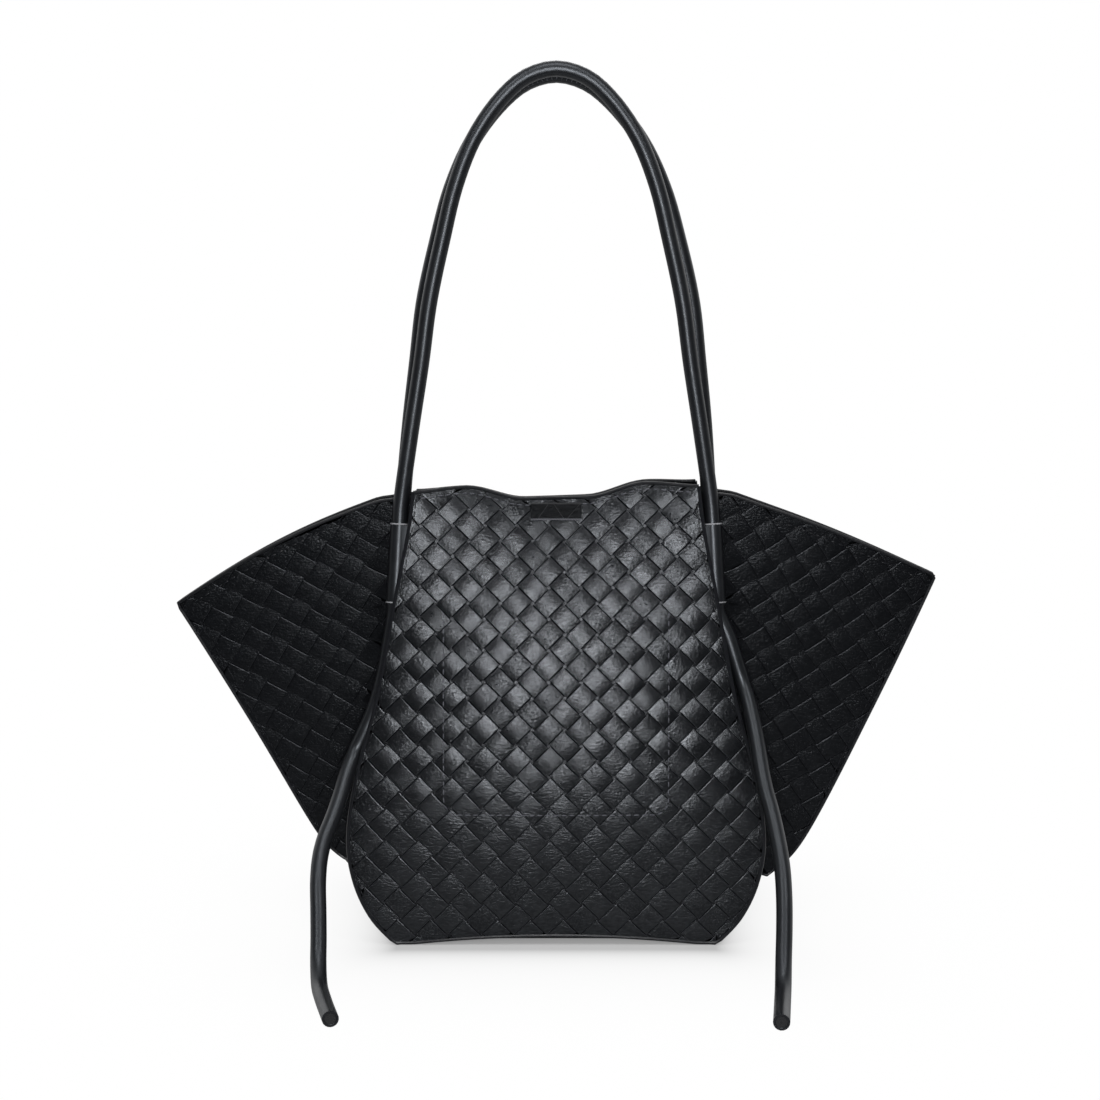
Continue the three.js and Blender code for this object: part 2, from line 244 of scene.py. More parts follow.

# The patch over the magnet, darkened with painted shade for its pressed-in recess, and where strips' edges
# cross its upper and its lower edge, from -1 to 1
PATCH_MIDDLE = 0.2
PATCH_HALF = 15.2
PATCH_LOW = MAGNET_LOW - 6.0
PATCH_HIGH = MAGNET_TOP - 6.2
PATCH_OUT = 0.25
PATCH_LEAN = 1.1
PATCH_T = 0.6
PATCH_PAINTED_SHADE = -0.56
PATCH_STRIPS = [(-0.12, 0.32), (0.94, 0.4), (-0.3, -0.74)]
STRIP_EDGE_R = 0.22

# Studio: sensor and lens in millimetres, tilt in degrees and places in metres. A lamp has its place, size and
# power in watts, and a part of the shadow painted on the floor round the base its share and its reach.
SENSOR = 36.0
LENS = 85.29
CAMERA_AT = (-0.0036, -1.555, 0.503)
CAMERA_DOWN = 9.88
LAMP_TARGET = Vector((0.0, 0.0, 0.2))
LAMPS = [
    ("front_softbox", (0.0, -1.6, 0.52), (0.2, 0.8), 18.0),
    ("left_softbox", (-0.75, -0.95, 1.35), (0.5, 0.5), 5.0),
    ("right_softbox", (0.75, -0.95, 1.35), (0.5, 0.5), 5.0),
    ("top_softbox", (0.0, -0.5, 1.7), (0.9, 0.5), 8.0),
    ("back_softbox", (0.0, 1.5, 1.2), (1.2, 0.8), 10.0),
]
FLOOR_HALF = 8.0
FLOOR_BACK = 7.67
PAINTED_SHADOWS = [(0.62, 0.01), (0.15, 0.045)]
EVEN_LIGHT = 0.08


# Sizes and colours a user would change


def linear(code):
    """An sRGB hex colour as linear red, green, blue and alpha."""
    values = [int(code[k : k + 2], 16) / 255 for k in (0, 2, 4)]
    return [c / 12.92 if c <= 0.04045 else ((c + 0.055) / 1.055) ** 2.4 for c in values] + [1.0]


def length(name, description, value):
    """A size in metres, given here in millimetres."""
    return bpy.props.FloatProperty(
        name=name, description=description, default=value * MM, min=0.0, precision=5, subtype="DISTANCE",
        unit="LENGTH",
    )


def colour(name, description, code):
    """A linear colour, given here as sRGB hex."""
    return bpy.props.FloatVectorProperty(
        name=name, description=description, default=linear(code), size=4, min=0.0, max=1.0, subtype="COLOR"
    )


class ToteSizes(bpy.types.PropertyGroup):
    """Sizes of the weave, the stitching and the cord."""

    weave_across: length("Weave width", "Distance between neighbouring columns of like tiles", TILE_WIDE)
    weave_up: length("Weave height", "Distance between neighbouring tiles in a column", TILE_TALL)
    weave_lift: length("Weave lift", "How far a strip rises where it crosses over", 1.05)
    edge_radius: length("Edge radius", "Radius of the painted edge round each panel", 1.2)
    stitch_pitch: length("Stitch pitch", "Distance from one stitch to the next", 4.8)
    stitch_length: length("Stitch length", "Length of the thread that shows in one stitch", 3.4)
    thread: length("Thread", "Thickness of the sewing thread", 0.8)
    cord: length("Cord radius", "Radius of the rolled handle cord", CORD_R)


class ToteColours(bpy.types.PropertyGroup):
    """Colours of the leather, thread, cloth and stiffeners."""

    leather: colour("Strip leather", "Face of the woven strips", "0b0c0e")
    # Paler partly as a painted highlight along the cut edges
    cut: colour("Cut edge", "Raw edge of a cut strip", "313237")
    cord: colour("Cord leather", "Rolled cords and their sleeves", "0c0d0f")
    # The lips' paleness is partly a painted highlight along them
    rim: colour("Sleeve lip", "Pale fibres in the cut lips of the sleeves", "b2b3b8")
    edge: colour("Edge paint", "Painted edges of the plies and the cord ends", "121316")
    thread: colour("Thread", "Bonded sewing thread", "3a3b41")
    cloth: colour("Lining cloth", "Cotton twill of the lining and pocket", "26272b")
    steel: colour("Magnet plate", "Nickel-plated magnets of the clasp", "a9abb0")
    board: colour("Base board", "Grey fibre board in the base", "6e6258")
    floor: colour("Floor", "Studio floor and backdrop", "ffffff")


# Lines and surfaces

# Steps in each part of a curve, in the outline and along the base, then step lengths along lines
CURVE_STEPS = 16
OUTLINE_STEPS = 400
BASE_STEPS = 200
FOLD_STEP = 5.0
HANDLE_STEP = 6.0
TAIL_STEP = 4.0
EDGE_STEP = 4.0


def clamp(value, low=0.0, high=1.0):
    """The value, kept between low and high."""
    return max(low, min(high, value))


def smooth_line(points, step):
    """A smooth curve through the points that doesn't overshoot close ones, with a point about every step."""
    points = [Vector(p) for p in points]
    points = [points[0] * 2 - points[1]] + points + [points[-1] * 2 - points[-2]]
    fine = []
    for p0, p1, p2, p3 in zip(points, points[1:], points[2:], points[3:]):
        t1 = (p1 - p0).length ** 0.5
        t2 = t1 + (p2 - p1).length ** 0.5
        t3 = t2 + (p3 - p2).length ** 0.5
        for k in range(CURVE_STEPS):
            t = t1 + (t2 - t1) * k / CURVE_STEPS
            a = p0.lerp(p1, t / t1)
            b = p1.lerp(p2, (t - t1) / (t2 - t1))
            c = p2.lerp(p3, (t - t2) / (t3 - t2))
            fine.append(a.lerp(b, t / t2).lerp(b.lerp(c, (t - t1) / (t3 - t1)), (t - t1) / (t2 - t1)))
    fine.append(points[-2])
    return spaced(fine, step)


def line_length(line):
    """Length along a line of points."""
    return sum((b - a).length for a, b in zip(line, line[1:]))


def spaced(line, step):
    """The same line with its points evenly spaced, about a step apart."""
    count = max(1, round(line_length(line) / step))
    gap = line_length(line) / count
    even = [line[0].copy()]
    done = 0.0
    for a, b in zip(line, line[1:]):
        reach = (b - a).length
        while len(even) < count and done + reach >= gap * len(even):
            even.append(a.lerp(b, (gap * len(even) - done) / reach))
        done += reach
    even.append(line[-1].copy())
    return even


def smoothstep(low, high, value):
    """Eases from 0 at low to 1 at high."""
    t = clamp((value - low) / (high - low))
    return t * t * (3 - 2 * t)


def outline_point(v):
    """Half width and height on the panel's outline, from its foot at 0 to its top corner at 1."""
    last = len(OUTLINE) - 1
    at = clamp(v) * last
    k = min(int(at), last - 1)
    w = at - k
    p0, p1, p2, p3 = (Vector(OUTLINE[clamp(k + n, 0, last)]) for n in (-1, 0, 1, 2))
    a = (p2 - p0) / 2
    b = (p3 - p1) / 2
    return (2 * p1 - 2 * p2 + a + b) * w**3 + (3 * p2 - 3 * p1 - 2 * a - b) * w**2 + a * w + p1


OUTLINE_TABLE = [outline_point(k / OUTLINE_STEPS) for k in range(OUTLINE_STEPS + 1)]
OUTLINE_HEIGHTS = [p.y for p in OUTLINE_TABLE]


def half_width(z):
    """Half width of the panel at a height."""
    k = clamp(bisect_left(OUTLINE_HEIGHTS, z), 1, OUTLINE_STEPS)
    p, q = OUTLINE_TABLE[k - 1], OUTLINE_TABLE[k]
    return p.x + (q.x - p.x) * clamp((z - p.y) / (q.y - p.y))


def outline_share(z):
    """Place on the outline, from 0 to 1, that reaches a height."""
    k = clamp(bisect_left(OUTLINE_HEIGHTS, z), 1, OUTLINE_STEPS)
    p, q = OUTLINE_HEIGHTS[k - 1], OUTLINE_HEIGHTS[k]
    return (k - 1 + clamp((z - p) / (q - p))) / OUTLINE_STEPS


def seam_depth(z):
    """Distance of the side seam from the middle of the bag."""
    return SEAM_DEPTH_LOW - (SEAM_DEPTH_LOW - SEAM_DEPTH_TOP) * max(0.0, z / HEIGHT) ** LEAN_POWER


def panel_depth(across, z):
    """Distance of the panel's outer face from the middle of the bag."""
    t = z / HEIGHT
    bulge = BELLY * math.sin(math.pi * min(1.0, t)) - MOUTH_PINCH * t**4
    return seam_depth(z) + bulge * (1 - across * across)


def top_wave(across, rear=False):
    """How far the top edge lies over its height: two humps, a dip between, low corners, a sag to one side."""
    dip = TOP_DIP * (1 - smoothstep(DIP_FLAT, HUMP_AT, abs(across)))
    corner = CORNER_DROP * smoothstep(HUMP_AT, 1.0, abs(across))
    return TOP_TILT * across - dip - corner + (REAR_TILT * across - REAR_DROP if rear else 0.0)


def foot_arch(across):
    """How far the sewn lower edges lift off the floor."""
    return FOOT_ARCH * max(0.0, 1 - across * across)


def panel_point(x, z):
    """A point of the front panel's outer face."""
    return Vector((x, -panel_depth(min(1.0, abs(x) / half_width(z)), z), z))


def panel_layer(side, v, edge=0.0, half=None, behind=0.0, rear=False):
    """A point on a layer behind a panel's outer face, in the front panel's place: side from -1 to 1, v up."""
    p = outline_point(v)
    reach = p.x - edge if half is None else min(half, p.x - edge)
    x = side * reach
    across = x / p.x
    up = smoothstep(HEIGHT - WAVE_FADE, HEIGHT, p.y)
    foot = 1 - smoothstep(0, FOOT_FADE, p.y)
    z = p.y + top_wave(across, rear) * up + foot_arch(across) * foot
    return Vector((x, -panel_depth(across, z) + behind, z))


def normal_at(point, a, b, step=0.5):
    """Outward normal of a surface point(a, b) whose a runs right and b runs up, seen from outside."""
    along = point(a + step, b) - point(a - step, b)
    up = point(a, b + step) - point(a, b - step)
    return along.cross(up).normalized()


def panel_spot(s, t, rear=False):
    """Lays the panel's flat leather on the bag: point, outward normal and distance inside the edge."""
    z = FOOT_TALL / TALL_LOSS * (1 - math.exp(-TALL_LOSS * t / TILE_TALL))
    x = s * (FOOT_WIDE - WIDE_LOSS * z) / TILE_WIDE
    top = HEIGHT + top_wave(x / half_width(HEIGHT), rear)
    foot = foot_arch(x / OUTLINE[0][0])
    inside = min(top - z, z - foot, half_width(z) - abs(x))
    z = clamp(z, foot, top)
    x = clamp(x, -half_width(z), half_width(z))
    return panel_point(x, z), normal_at(panel_point, x, z), inside


def panel_flat(x, z):
    """The flat leather place that panel_spot lays at x and z."""
    across = x * TILE_WIDE / (FOOT_WIDE - WIDE_LOSS * z)
    return across, -math.log(1 - TALL_LOSS * z / FOOT_TALL) / TALL_LOSS * TILE_TALL


def cord_room(z):
    """How far the gusset keeps off the panel's margin to let the cords by, from 0 at the foot to 1."""
    return smoothstep(LAP_FROM, LAP_FULL, z)


def seam_point(z):
    """Where the gusset starts, behind the panel's margin."""
    half = half_width(z)
    room = cord_room(z)
    x = half - SEAM_LAP - (CORD_LAP - SEAM_LAP) * room
    face = panel_depth(x / half, z)
    low = min(seam_depth(z), face)
    return Vector((x, PANEL_T + LAYER_GAP - low - (face - low) * room, z))


FOLD_LINE = smooth_line([(x, -PLY_T - GAP / 2, z) for x, z in WING_FOLD], FOLD_STEP)


def fold_point(v):
    """A point on the wing's fold, from its foot at 0 to its tip at 1, and straight on beyond them."""
    at = v * (len(FOLD_LINE) - 1)
    k = clamp(math.floor(at), 0, len(FOLD_LINE) - 2)
    return FOLD_LINE[k].lerp(FOLD_LINE[k + 1], at - k)


def ply_point(u, v, sag=0.0):
    """One leather ply of the side: the gusset from seam to crease for u 0 to 1, then the wing to its fold."""
    crease = CREASE_LOW.lerp(CREASE_TOP, v)
    tilt = Vector((0, 0, SIDE_TILT * sag * v * v))
    if u <= 1:
        start = seam_point(GUSSET_LOW + (HEIGHT - GUSSET_DROP - GUSSET_LOW) * v)
        room = cord_room(start.z)
        out = TURN_LOW + (TURN_HIGH - TURN_LOW) * room
        turn = start + Vector((out, (CREASE_TOP.y - start.y) * room, 0))
        return start.lerp(turn, u).lerp(turn.lerp(crease, u), u) + tilt
    w = u - 1
    at = crease.lerp(fold_point(v), w) + tilt
    at.x += FOLD_SWAY * (1 - v) * (v + 0.35) * sag * w * w
    at.z += WING_ARC * math.sin(math.pi * w) * v * v + TIP_LIFT * sag * w * w * (1.5 * v - 0.5)
    return at


def ply_face(u, v, sag):
    """A point of the side ply, kept inside its edges, and its outward normal."""

    def near(a, b):
        return ply_point(clamp(a, 0.0, 2.0), clamp(b), sag)

    return near(u, v), normal_at(near, u, v, 0.02)


# About how tall the gusset and the wing are, how the wing's fold slants and how much the seam hides
GUSSET_TALL = 235
WING_TALL = 205
FOLD_SLANT = 0.85
SEAM_HIDES = 2

# The side ply laid flat: seam, crease and fold, at the foot and at the top
PLY_FLAT = [
    (Vector((72, 32)), Vector((69, 269))),
    (CREASE_LOW.xz, CREASE_TOP.xz),
    (Vector(WING_FOLD[0]), Vector(WING_FOLD[-1])),
]


def cross(a, b):
    """Cross product of two flat vectors."""
    return a.x * b.y - a.y * b.x


def patch_share(p, first, second):
    """Where a flat point lies between two edges, each given from foot to top, as shares across and up."""
    e = second[0] - first[0]
    f = first[1] - first[0]
    g = first[0] - second[0] + second[1] - first[1]
    h = p - first[0]
    k2 = cross(g, f)
    k1 = cross(e, f) + cross(h, g)
    k0 = cross(h, e)
    root = math.sqrt(max(0.0, k1 * k1 - 4 * k0 * k2))
    shares = [-k0 / k1] if abs(k2) < 1e-6 else [(-k1 - root) / (2 * k2), (-k1 + root) / (2 * k2)]
    v = min(shares, key=lambda share: abs(share - 0.5))
    under = e + g * v
    rest = h - f * v
    return rest.dot(under) / under.length_squared, v, under.length


def wing_share(p):
    """Shares across and up the wing that reach a flat point, found from a straight-sided guess."""
    u, v, _ = patch_share(p, PLY_FLAT[1], PLY_FLAT[2])
    u, v = clamp(u, 0.0, 1.2), clamp(v, -0.2, 1.2)
    for _ in range(4):
        here = ply_point(1.0001 + u, v).xz
        by_u = (ply_point(1.0101 + u, v).xz - here) * 100
        by_v = (ply_point(1.0001 + u, v + 0.01).xz - here) * 100
        size = cross(by_u, by_v)
        if abs(size) < 1:
            break
        u = clamp(u + clamp(cross(p - here, by_v) / size, -0.3, 0.3), 0.0, 1.5)
        v += clamp(cross(by_u, p - here) / size, -0.3, 0.3)
    return u, v


def ply_spot(s, t, sag):
    """Lays the side ply's flat leather on the bag: point, outward normal and distance inside the edge."""
    p = Vector((s, t))
    seam, crease, _ = PLY_FLAT
    if cross(crease[1] - crease[0], p - crease[0]) > 0:
        u, v, wide = patch_share(p, seam, crease)
        inside = min(min(v, 1 - v) * GUSSET_TALL, u * wide + SEAM_HIDES)
    else:
        u, v = wing_share(p)
        wide = (ply_point(2, v) - ply_point(1, v)).length
        inside = min((1 - u) * wide * FOLD_SLANT, min(v, 1 - v) * WING_TALL)
        u += 1
    at, out = ply_face(clamp(u, 0.0, 2.0), clamp(v), sag)
    return at, out, inside


# The flat share of the base strip's half length, and how its ends turn up beyond it
BASE_FLAT = 0.6
BASE_TURN = 0.35


def base_line(u):
    """The base strip's line along the bag: place across, height and how far up its turned end."""
    side = 2 * u - 1
    start = OUTLINE[0][0] - SEAM_LAP
    if abs(side) <= BASE_FLAT:
        return side / BASE_FLAT * start, 0.0, 0.0
    rise = (abs(side) - BASE_FLAT) / (1 - BASE_FLAT)
    p = outline_point(outline_share(GUSSET_LOW - PANEL_T) * rise)
    x = max(start, p.x - SEAM_LAP / 2 - SEAM_LAP / 2 * (1 - rise))
    return math.copysign(x, side), p.y * rise**BASE_TURN, rise


def base_point(u, v):
    """A point of the base strip's outer face."""
    x, z, rise = base_line(clamp(u))
    depth = min(SEAM_DEPTH_LOW, seam_depth(z)) - PANEL_T - GAP
    side = clamp(2 * v - 1, -1.0, 1.0)
    bulge = CREASE_LOW.x - half_width(GUSSET_LOW - PANEL_T) + SEAM_LAP / 2
    full = bulge * rise * (1 - side * side)
    turned = 0.0 if rise > 0 else foot_arch(x / (OUTLINE[0][0] - SEAM_LAP)) * side**EDGE_TURN
    return Vector((x + math.copysign(full, x), side * depth, z + turned))


BASE_ARC = [0.0]
for _step in range(BASE_STEPS):
    _reach = base_point((_step + 1) / BASE_STEPS, 0.5) - base_point(_step / BASE_STEPS, 0.5)
    BASE_ARC.append(BASE_ARC[-1] + _reach.length)


def base_spot(s, t):
    """Lays the base strip's flat leather under the bag: point, outward normal, distance inside the edge."""
    along = s + BASE_ARC[-1] / 2
    k = clamp(bisect_left(BASE_ARC, along), 1, BASE_STEPS)
    u = clamp((k - 1 + (along - BASE_ARC[k - 1]) / (BASE_ARC[k] - BASE_ARC[k - 1])) / BASE_STEPS)
    deep = SEAM_DEPTH_LOW - PANEL_T - GAP
    inside = min(deep - abs(t), BASE_ARC[-1] / 2 - abs(s))
    v = clamp((t / deep + 1) / 2)
    normal = -normal_at(base_point, clamp(u, 0.01, 0.99), clamp(v, 0.01, 0.99), 0.01)
    return base_point(u, v) - normal * BASE_SUNK, normal, inside


# Modelling helpers


def turned_frames(line, facing):
    """A matrix at each point of a line: X kept towards facing, Z along the line."""
    frames = []
    side = Vector(facing)
    for k, at in enumerate(line):
        along = (line[min(k + 1, len(line) - 1)] - line[max(k - 1, 0)]).normalized()
        side = (side - along * side.dot(along)).normalized()
        turn = Matrix((side, along.cross(side), along)).transposed().to_4x4()
        frames.append(Matrix.Translation(at) @ turn)
    return frames


def ring_edges(geometry):
    """The edges of an extruded ring: those between its new vertices."""
    fresh = {g for g in geometry if isinstance(g, bmesh.types.BMVert)}
    return [g for g in geometry if isinstance(g, bmesh.types.BMEdge) and fresh.issuperset(g.verts)]


# A cord's cut end, in shares of its radius: the rim's width, and the step down to the core
CAP_RIM = 0.24
CAP_STEP = 0.06
CAP_SUNK = 0.08


def sweep(bm, line, radius, sides, facing=(0, 1, 0), material=0, cap=None):
    """Extrudes a ring along a line and closes its ends; a cap gives the materials of their rim and core."""
    places = turned_frames(line, facing)
    part = new_leather()
    ring = bmesh.ops.create_circle(part, segments=sides, radius=radius, matrix=places[0])["verts"]
    edges = list({edge for vert in ring for edge in vert.link_edges})
    foot = list(edges)
    for before, after in zip(places, places[1:]):
        grown = bmesh.ops.extrude_edge_only(part, edges=edges)["geom"]
        verts = [g for g in grown if isinstance(g, bmesh.types.BMVert)]
        bmesh.ops.transform(part, matrix=after @ before.inverted(), verts=verts)
        edges = ring_edges(grown)
    ends = []
    for ring in (foot, edges):
        ends += bmesh.ops.edgeloop_fill(part, edges=ring)["faces"]
    bmesh.ops.recalc_face_normals(part, faces=part.faces)
    for face in part.faces:
        face.material_index = material
    if cap:
        rims = bmesh.ops.inset_individual(part, faces=ends, thickness=radius * CAP_RIM, depth=0.0)["faces"]
        bmesh.ops.inset_individual(part, faces=ends, thickness=radius * CAP_STEP, depth=-radius * CAP_SUNK)
        for face in rims:
            face.material_index = cap[0]
        for face in ends:
            face.material_index = cap[1]
    merge(bm, part)


def bent_sheet(bm, across, up, place, thick, cut_and_shade=0.0):
    """A grid laid on place(side, v), side from -1 to 1 and v from 0 to 1, and made thick inwards."""
    part = new_leather()
    layer = part.verts.layers.float["cut_edge_and_painted_shade"]
    for vert in bmesh.ops.create_grid(part, x_segments=across, y_segments=up, size=1.0)["verts"]:
        vert.co = place(vert.co.x, (vert.co.y + 1) / 2)
        vert[layer] = cut_and_shade
    part.normal_update()
    bmesh.ops.solidify(part, geom=part.faces[:], thickness=thick)
    merge(bm, part)


# One tile of a strip, in shares of a cell: rows along the strip, columns across it and how far each drops.
# Its mark for cut edges and shade is 1 on a cut edge, paler partly as a painted highlight, 0 on the face,
# and below 0 where shade is painted between strips, on their walls and on the ends under crossing strips.
TILE_ROWS = [-0.68, -0.57, -0.515, -0.26, 0.0, 0.26, 0.515, 0.57, 0.68]
ROW_CUT_AND_SHADE = [-0.3, -1.0, 0.0, 0.0, 0.0, 0.0, 0.0, -1.0, -0.3]
TILE_COLUMNS = [-0.437, -0.43, -0.412, -0.382, 0.382, 0.412, 0.43, 0.437]
TILE_DROP = [1.0, 0.16, 0.03, 0.0, 0.0, 0.03, 0.16, 1.0]
COLUMN_CUT_AND_SHADE = [-1.0, 1.0, 0.0, 0.0, 0.0, 0.0, 1.0, -1.0]

# A strip's crown, its height where it is pressed flat, and the relief left at an edge and at an eased foot
CROWN_REACH = 0.66
CROWN_POWER = 2.2
PRESSED = 0.3
EDGE_RELIEF = 0.25
EDGE_EASE = (0.5, 6.0)
FOOT_RELIEF = 0.5
STRIP_SUNK = 1.0
STRIP_TILT = 0.1
AREA_MARGIN = 20


class Weave:
    """A diagonal basket weave on a surface: its spot gives a point, a normal and how far inside it lies."""

    def __init__(self, spot, origin, turn, sizes, relief=1.0, eased=None):
        self.spot = spot
        self.origin = Vector(origin)
        self.spin = Matrix.Rotation(turn, 2)
        self.across, self.up = sizes.weave_across / MM, sizes.weave_up / MM
        self.lift = sizes.weave_lift / MM * relief
        self.eased = eased

    def flat(self, a, b):
        """Flat place of a lattice point: a counts along one set of strips and b along the other."""
        return self.origin + self.spin @ Vector(((a + b) / 2 * self.across, (a - b) / 2 * self.up))

    def rise(self, along):
        """Height of a strip's middle, along it from the middle of a tile, where it crosses over."""
        return self.lift * max(0.0, 1 - abs(along / CROWN_REACH) ** CROWN_POWER)

    def set_at(self, flat, height):
        """A point at a height over the backing. The weave is flatter towards an edge and an eased foot."""
        at, out, inside = self.spot(flat.x, flat.y)
        full = EDGE_RELIEF + (1 - EDGE_RELIEF) * smoothstep(*EDGE_EASE, inside)
        if self.eased:
            full *= FOOT_RELIEF + (1 - FOOT_RELIEF) * smoothstep(*self.eased, flat.y)
        return at + out * (PRESSED + (height - PRESSED) * full - STRIP_SUNK), out, inside

    def top(self, s, t):
        """The weave's top face over a flat place, and its outward direction."""
        place = self.spin.transposed() @ (Vector((s, t)) - self.origin)
        a = place.x / self.across + place.y / self.up
        b = place.x / self.across - place.y / self.up
        one = self.rise((a + round(b) + 1) % 2 - 1)
        other = self.rise((b + round(a)) % 2 - 1)
        at, out, _ = self.set_at(Vector((s, t)), max(one, other))
        return at, out

    def lay(self, bm, area, seed):
        """Lays both sets of strips inside the flat area given by its low and high corner."""
        chance = random.Random(seed)
        left, low, right, high = area
        reach = int(2 * max(right - left, high - low) / min(self.across, self.up))
        part = new_leather()
        for family in (0, 1):
            for k in range(-reach, reach + 1):
                shade = chance.random()
                run = []
                for n in range(-reach, reach + 1):
                    if (n + k + family) % 2:
                        continue
                    middle = self.flat(n, k) if family == 0 else self.flat(k, n)
                    tilt = chance.uniform(-STRIP_TILT, STRIP_TILT)
                    if not left - AREA_MARGIN < middle.x < right + AREA_MARGIN:
                        continue
                    if not low - AREA_MARGIN < middle.y < high + AREA_MARGIN:
                        continue
                    for p, cut in zip(TILE_ROWS, ROW_CUT_AND_SHADE):
                        row = self.row(family, k, n, p, tilt, cut)
                        if max(inside for _, inside, _ in row) > 0:
                            run.append(row)
                        else:
                            self.strip(part, run, shade)
                            run = [row] if not run else []
                self.strip(part, run, shade)
        merge(bm, part)

    def row(self, family, k, n, p, tilt, cut):
        """One row of points across a strip, each with its distance inside the edge and the row's mark for cut
        edges and painted shade.
        """
        row = []
        for q, drop in zip(TILE_COLUMNS, TILE_DROP):
            flat = self.flat(n + p, k - q) if family == 0 else self.flat(k + q, n + p)
            at, _, inside = self.set_at(flat, self.rise(p) - drop + tilt * q)
            row.append((at, inside, cut))
        return row

    def strip(self, bm, run, shade):
        """One strip of leather through rows of points."""
        if len(run) < 3:
            return
        part = new_leather()
        tone = part.verts.layers.float["strip_tone"]
        cut_and_shade = part.verts.layers.float["cut_edge_and_painted_shade"]
        across, along = len(TILE_COLUMNS) - 1, len(run) - 1
        for vert in bmesh.ops.create_grid(part, x_segments=along, y_segments=across, size=1.0)["verts"]:
            row, column = round((vert.co.x + 1) / 2 * along), round((vert.co.y + 1) / 2 * across)
            at, _, cut = run[row][column]
            vert.co = at
            vert[tone] = shade
            # Below 0 this paints shade on a strip's walls and on its ends under the crossing strips
            vert[cut_and_shade] = cut or COLUMN_CUT_AND_SHADE[column]
        merge(bm, part)


# What a thread's thickness is divided by for half a stitch's height
THREAD_FLAT = 2.4

# The angle, in radians, past which an edge is drawn sharp
SHARP_TURN = 0.7


def stitch_row(bm, line, outs, sizes, material, pitch=None, seat=0.0, swing=0.0):
    """Sews a row of thread along a line: each stitch is a stretched bead, turned by swing, on the leather."""
    pitch = pitch or sizes.stitch_pitch / MM
    thick = sizes.thread / MM
    size = Matrix.Diagonal((sizes.stitch_length / MM / 2, thick / 2, thick / THREAD_FLAT, 1))
    total = line_length(line)
    gap = total / max(1, round(total / pitch))
    done = 0.0
    target = gap / 2
    part = new_leather()
    for k, (a, b) in enumerate(zip(line, line[1:])):
        reach = (b - a).length
        while target <= done + reach and reach > 0:
            along = (b - a).normalized()
            out = outs[k].lerp(outs[k + 1], (target - done) / reach)
            out = (out - along * out.dot(along)).normalized()
            at = a.lerp(b, (target - done) / reach) + out * seat
            turn = Matrix((along, out.cross(along), out)).transposed().to_4x4()
            turn = turn @ Matrix.Rotation(swing, 4, "Z")
            place = Matrix.Translation(at) @ turn @ size @ Matrix.Rotation(math.pi / 2, 4, "Y")
            bmesh.ops.create_uvsphere(part, u_segments=6, v_segments=4, radius=1.0, matrix=place)
            target += gap
        done += reach
    for face in part.faces:
        face.material_index = material
    merge(bm, part)


def new_leather():
    """A new mesh with the attributes that the leather materials read."""
    bm = bmesh.new()
    bm.verts.layers.float.new("strip_tone")
    bm.verts.layers.float.new("cut_edge_and_painted_shade")
    return bm


def merge(bm, part):
    """Adds a part to a mesh. Parts are made apart, because an operator's time grows with its mesh."""
    mesh = bpy.data.meshes.new("part")
    part.to_mesh(mesh)
    part.free()
    bm.from_mesh(mesh)
    bpy.data.meshes.remove(mesh)


def finish_piece(bm, name, materials, mirror=(1, 1)):
    """Turns a mesh in millimetres into an object in metres, on the side of the bag that mirror gives."""
    bmesh.ops.scale(bm, vec=(MM * mirror[0], MM * mirror[1], MM), verts=bm.verts)
    if mirror[0] * mirror[1] < 0:
        bmesh.ops.reverse_faces(bm, faces=bm.faces)
    bmesh.ops.dissolve_degenerate(bm, dist=1e-6, edges=bm.edges)
    bm.normal_update()
    for face in bm.faces:
        face.smooth = True
    for edge in bm.edges:
        if len(edge.link_faces) == 2 and edge.calc_face_angle(0) > SHARP_TURN:
            edge.smooth = False
    mesh = bpy.data.meshes.new(name)
    bm.to_mesh(mesh)
    bm.free()
    for material in materials:
        mesh.materials.append(material)
    piece = bpy.data.objects.new(name, mesh)
    bpy.context.scene.collection.objects.link(piece)
    return piece


# Materials

# The colour among a Mix node's results
COLOUR_OUT = 2

# Painted shade between the strips, and a cool tint on the leathers' reflections that stands in for cool light
STRIP_SHADE = linear("020202")
WOVEN_SHEEN = linear("f3f8ff")
CORD_SHEEN = linear("eff6ff")


def add_node(tree, kind, inputs=None, **settings):
    """Adds a node with its settings; an input that is a socket is linked, and any other is its value."""
    made = tree.nodes.new(kind)
    for key, value in settings.items():
        setattr(made, key, value)
    for key, value in (inputs or {}).items():
        if isinstance(value, bpy.types.NodeSocket):
            tree.links.new(value, made.inputs[key])
        else:
            made.inputs[key].default_value = value
    return made


def start_material(name):
    """A new material, its tree, its shader and the piece's own coordinates."""
    made = bpy.data.materials.new(name)
    made.use_nodes = True
    tree = made.node_tree
    place = add_node(tree, "ShaderNodeTexCoord").outputs["Object"]
    return made, tree, tree.nodes["Principled BSDF"], place


def toned(base, share):
    """A colour made lighter or darker."""
    return [min(1.0, c * share) for c in base[:3]] + [1.0]


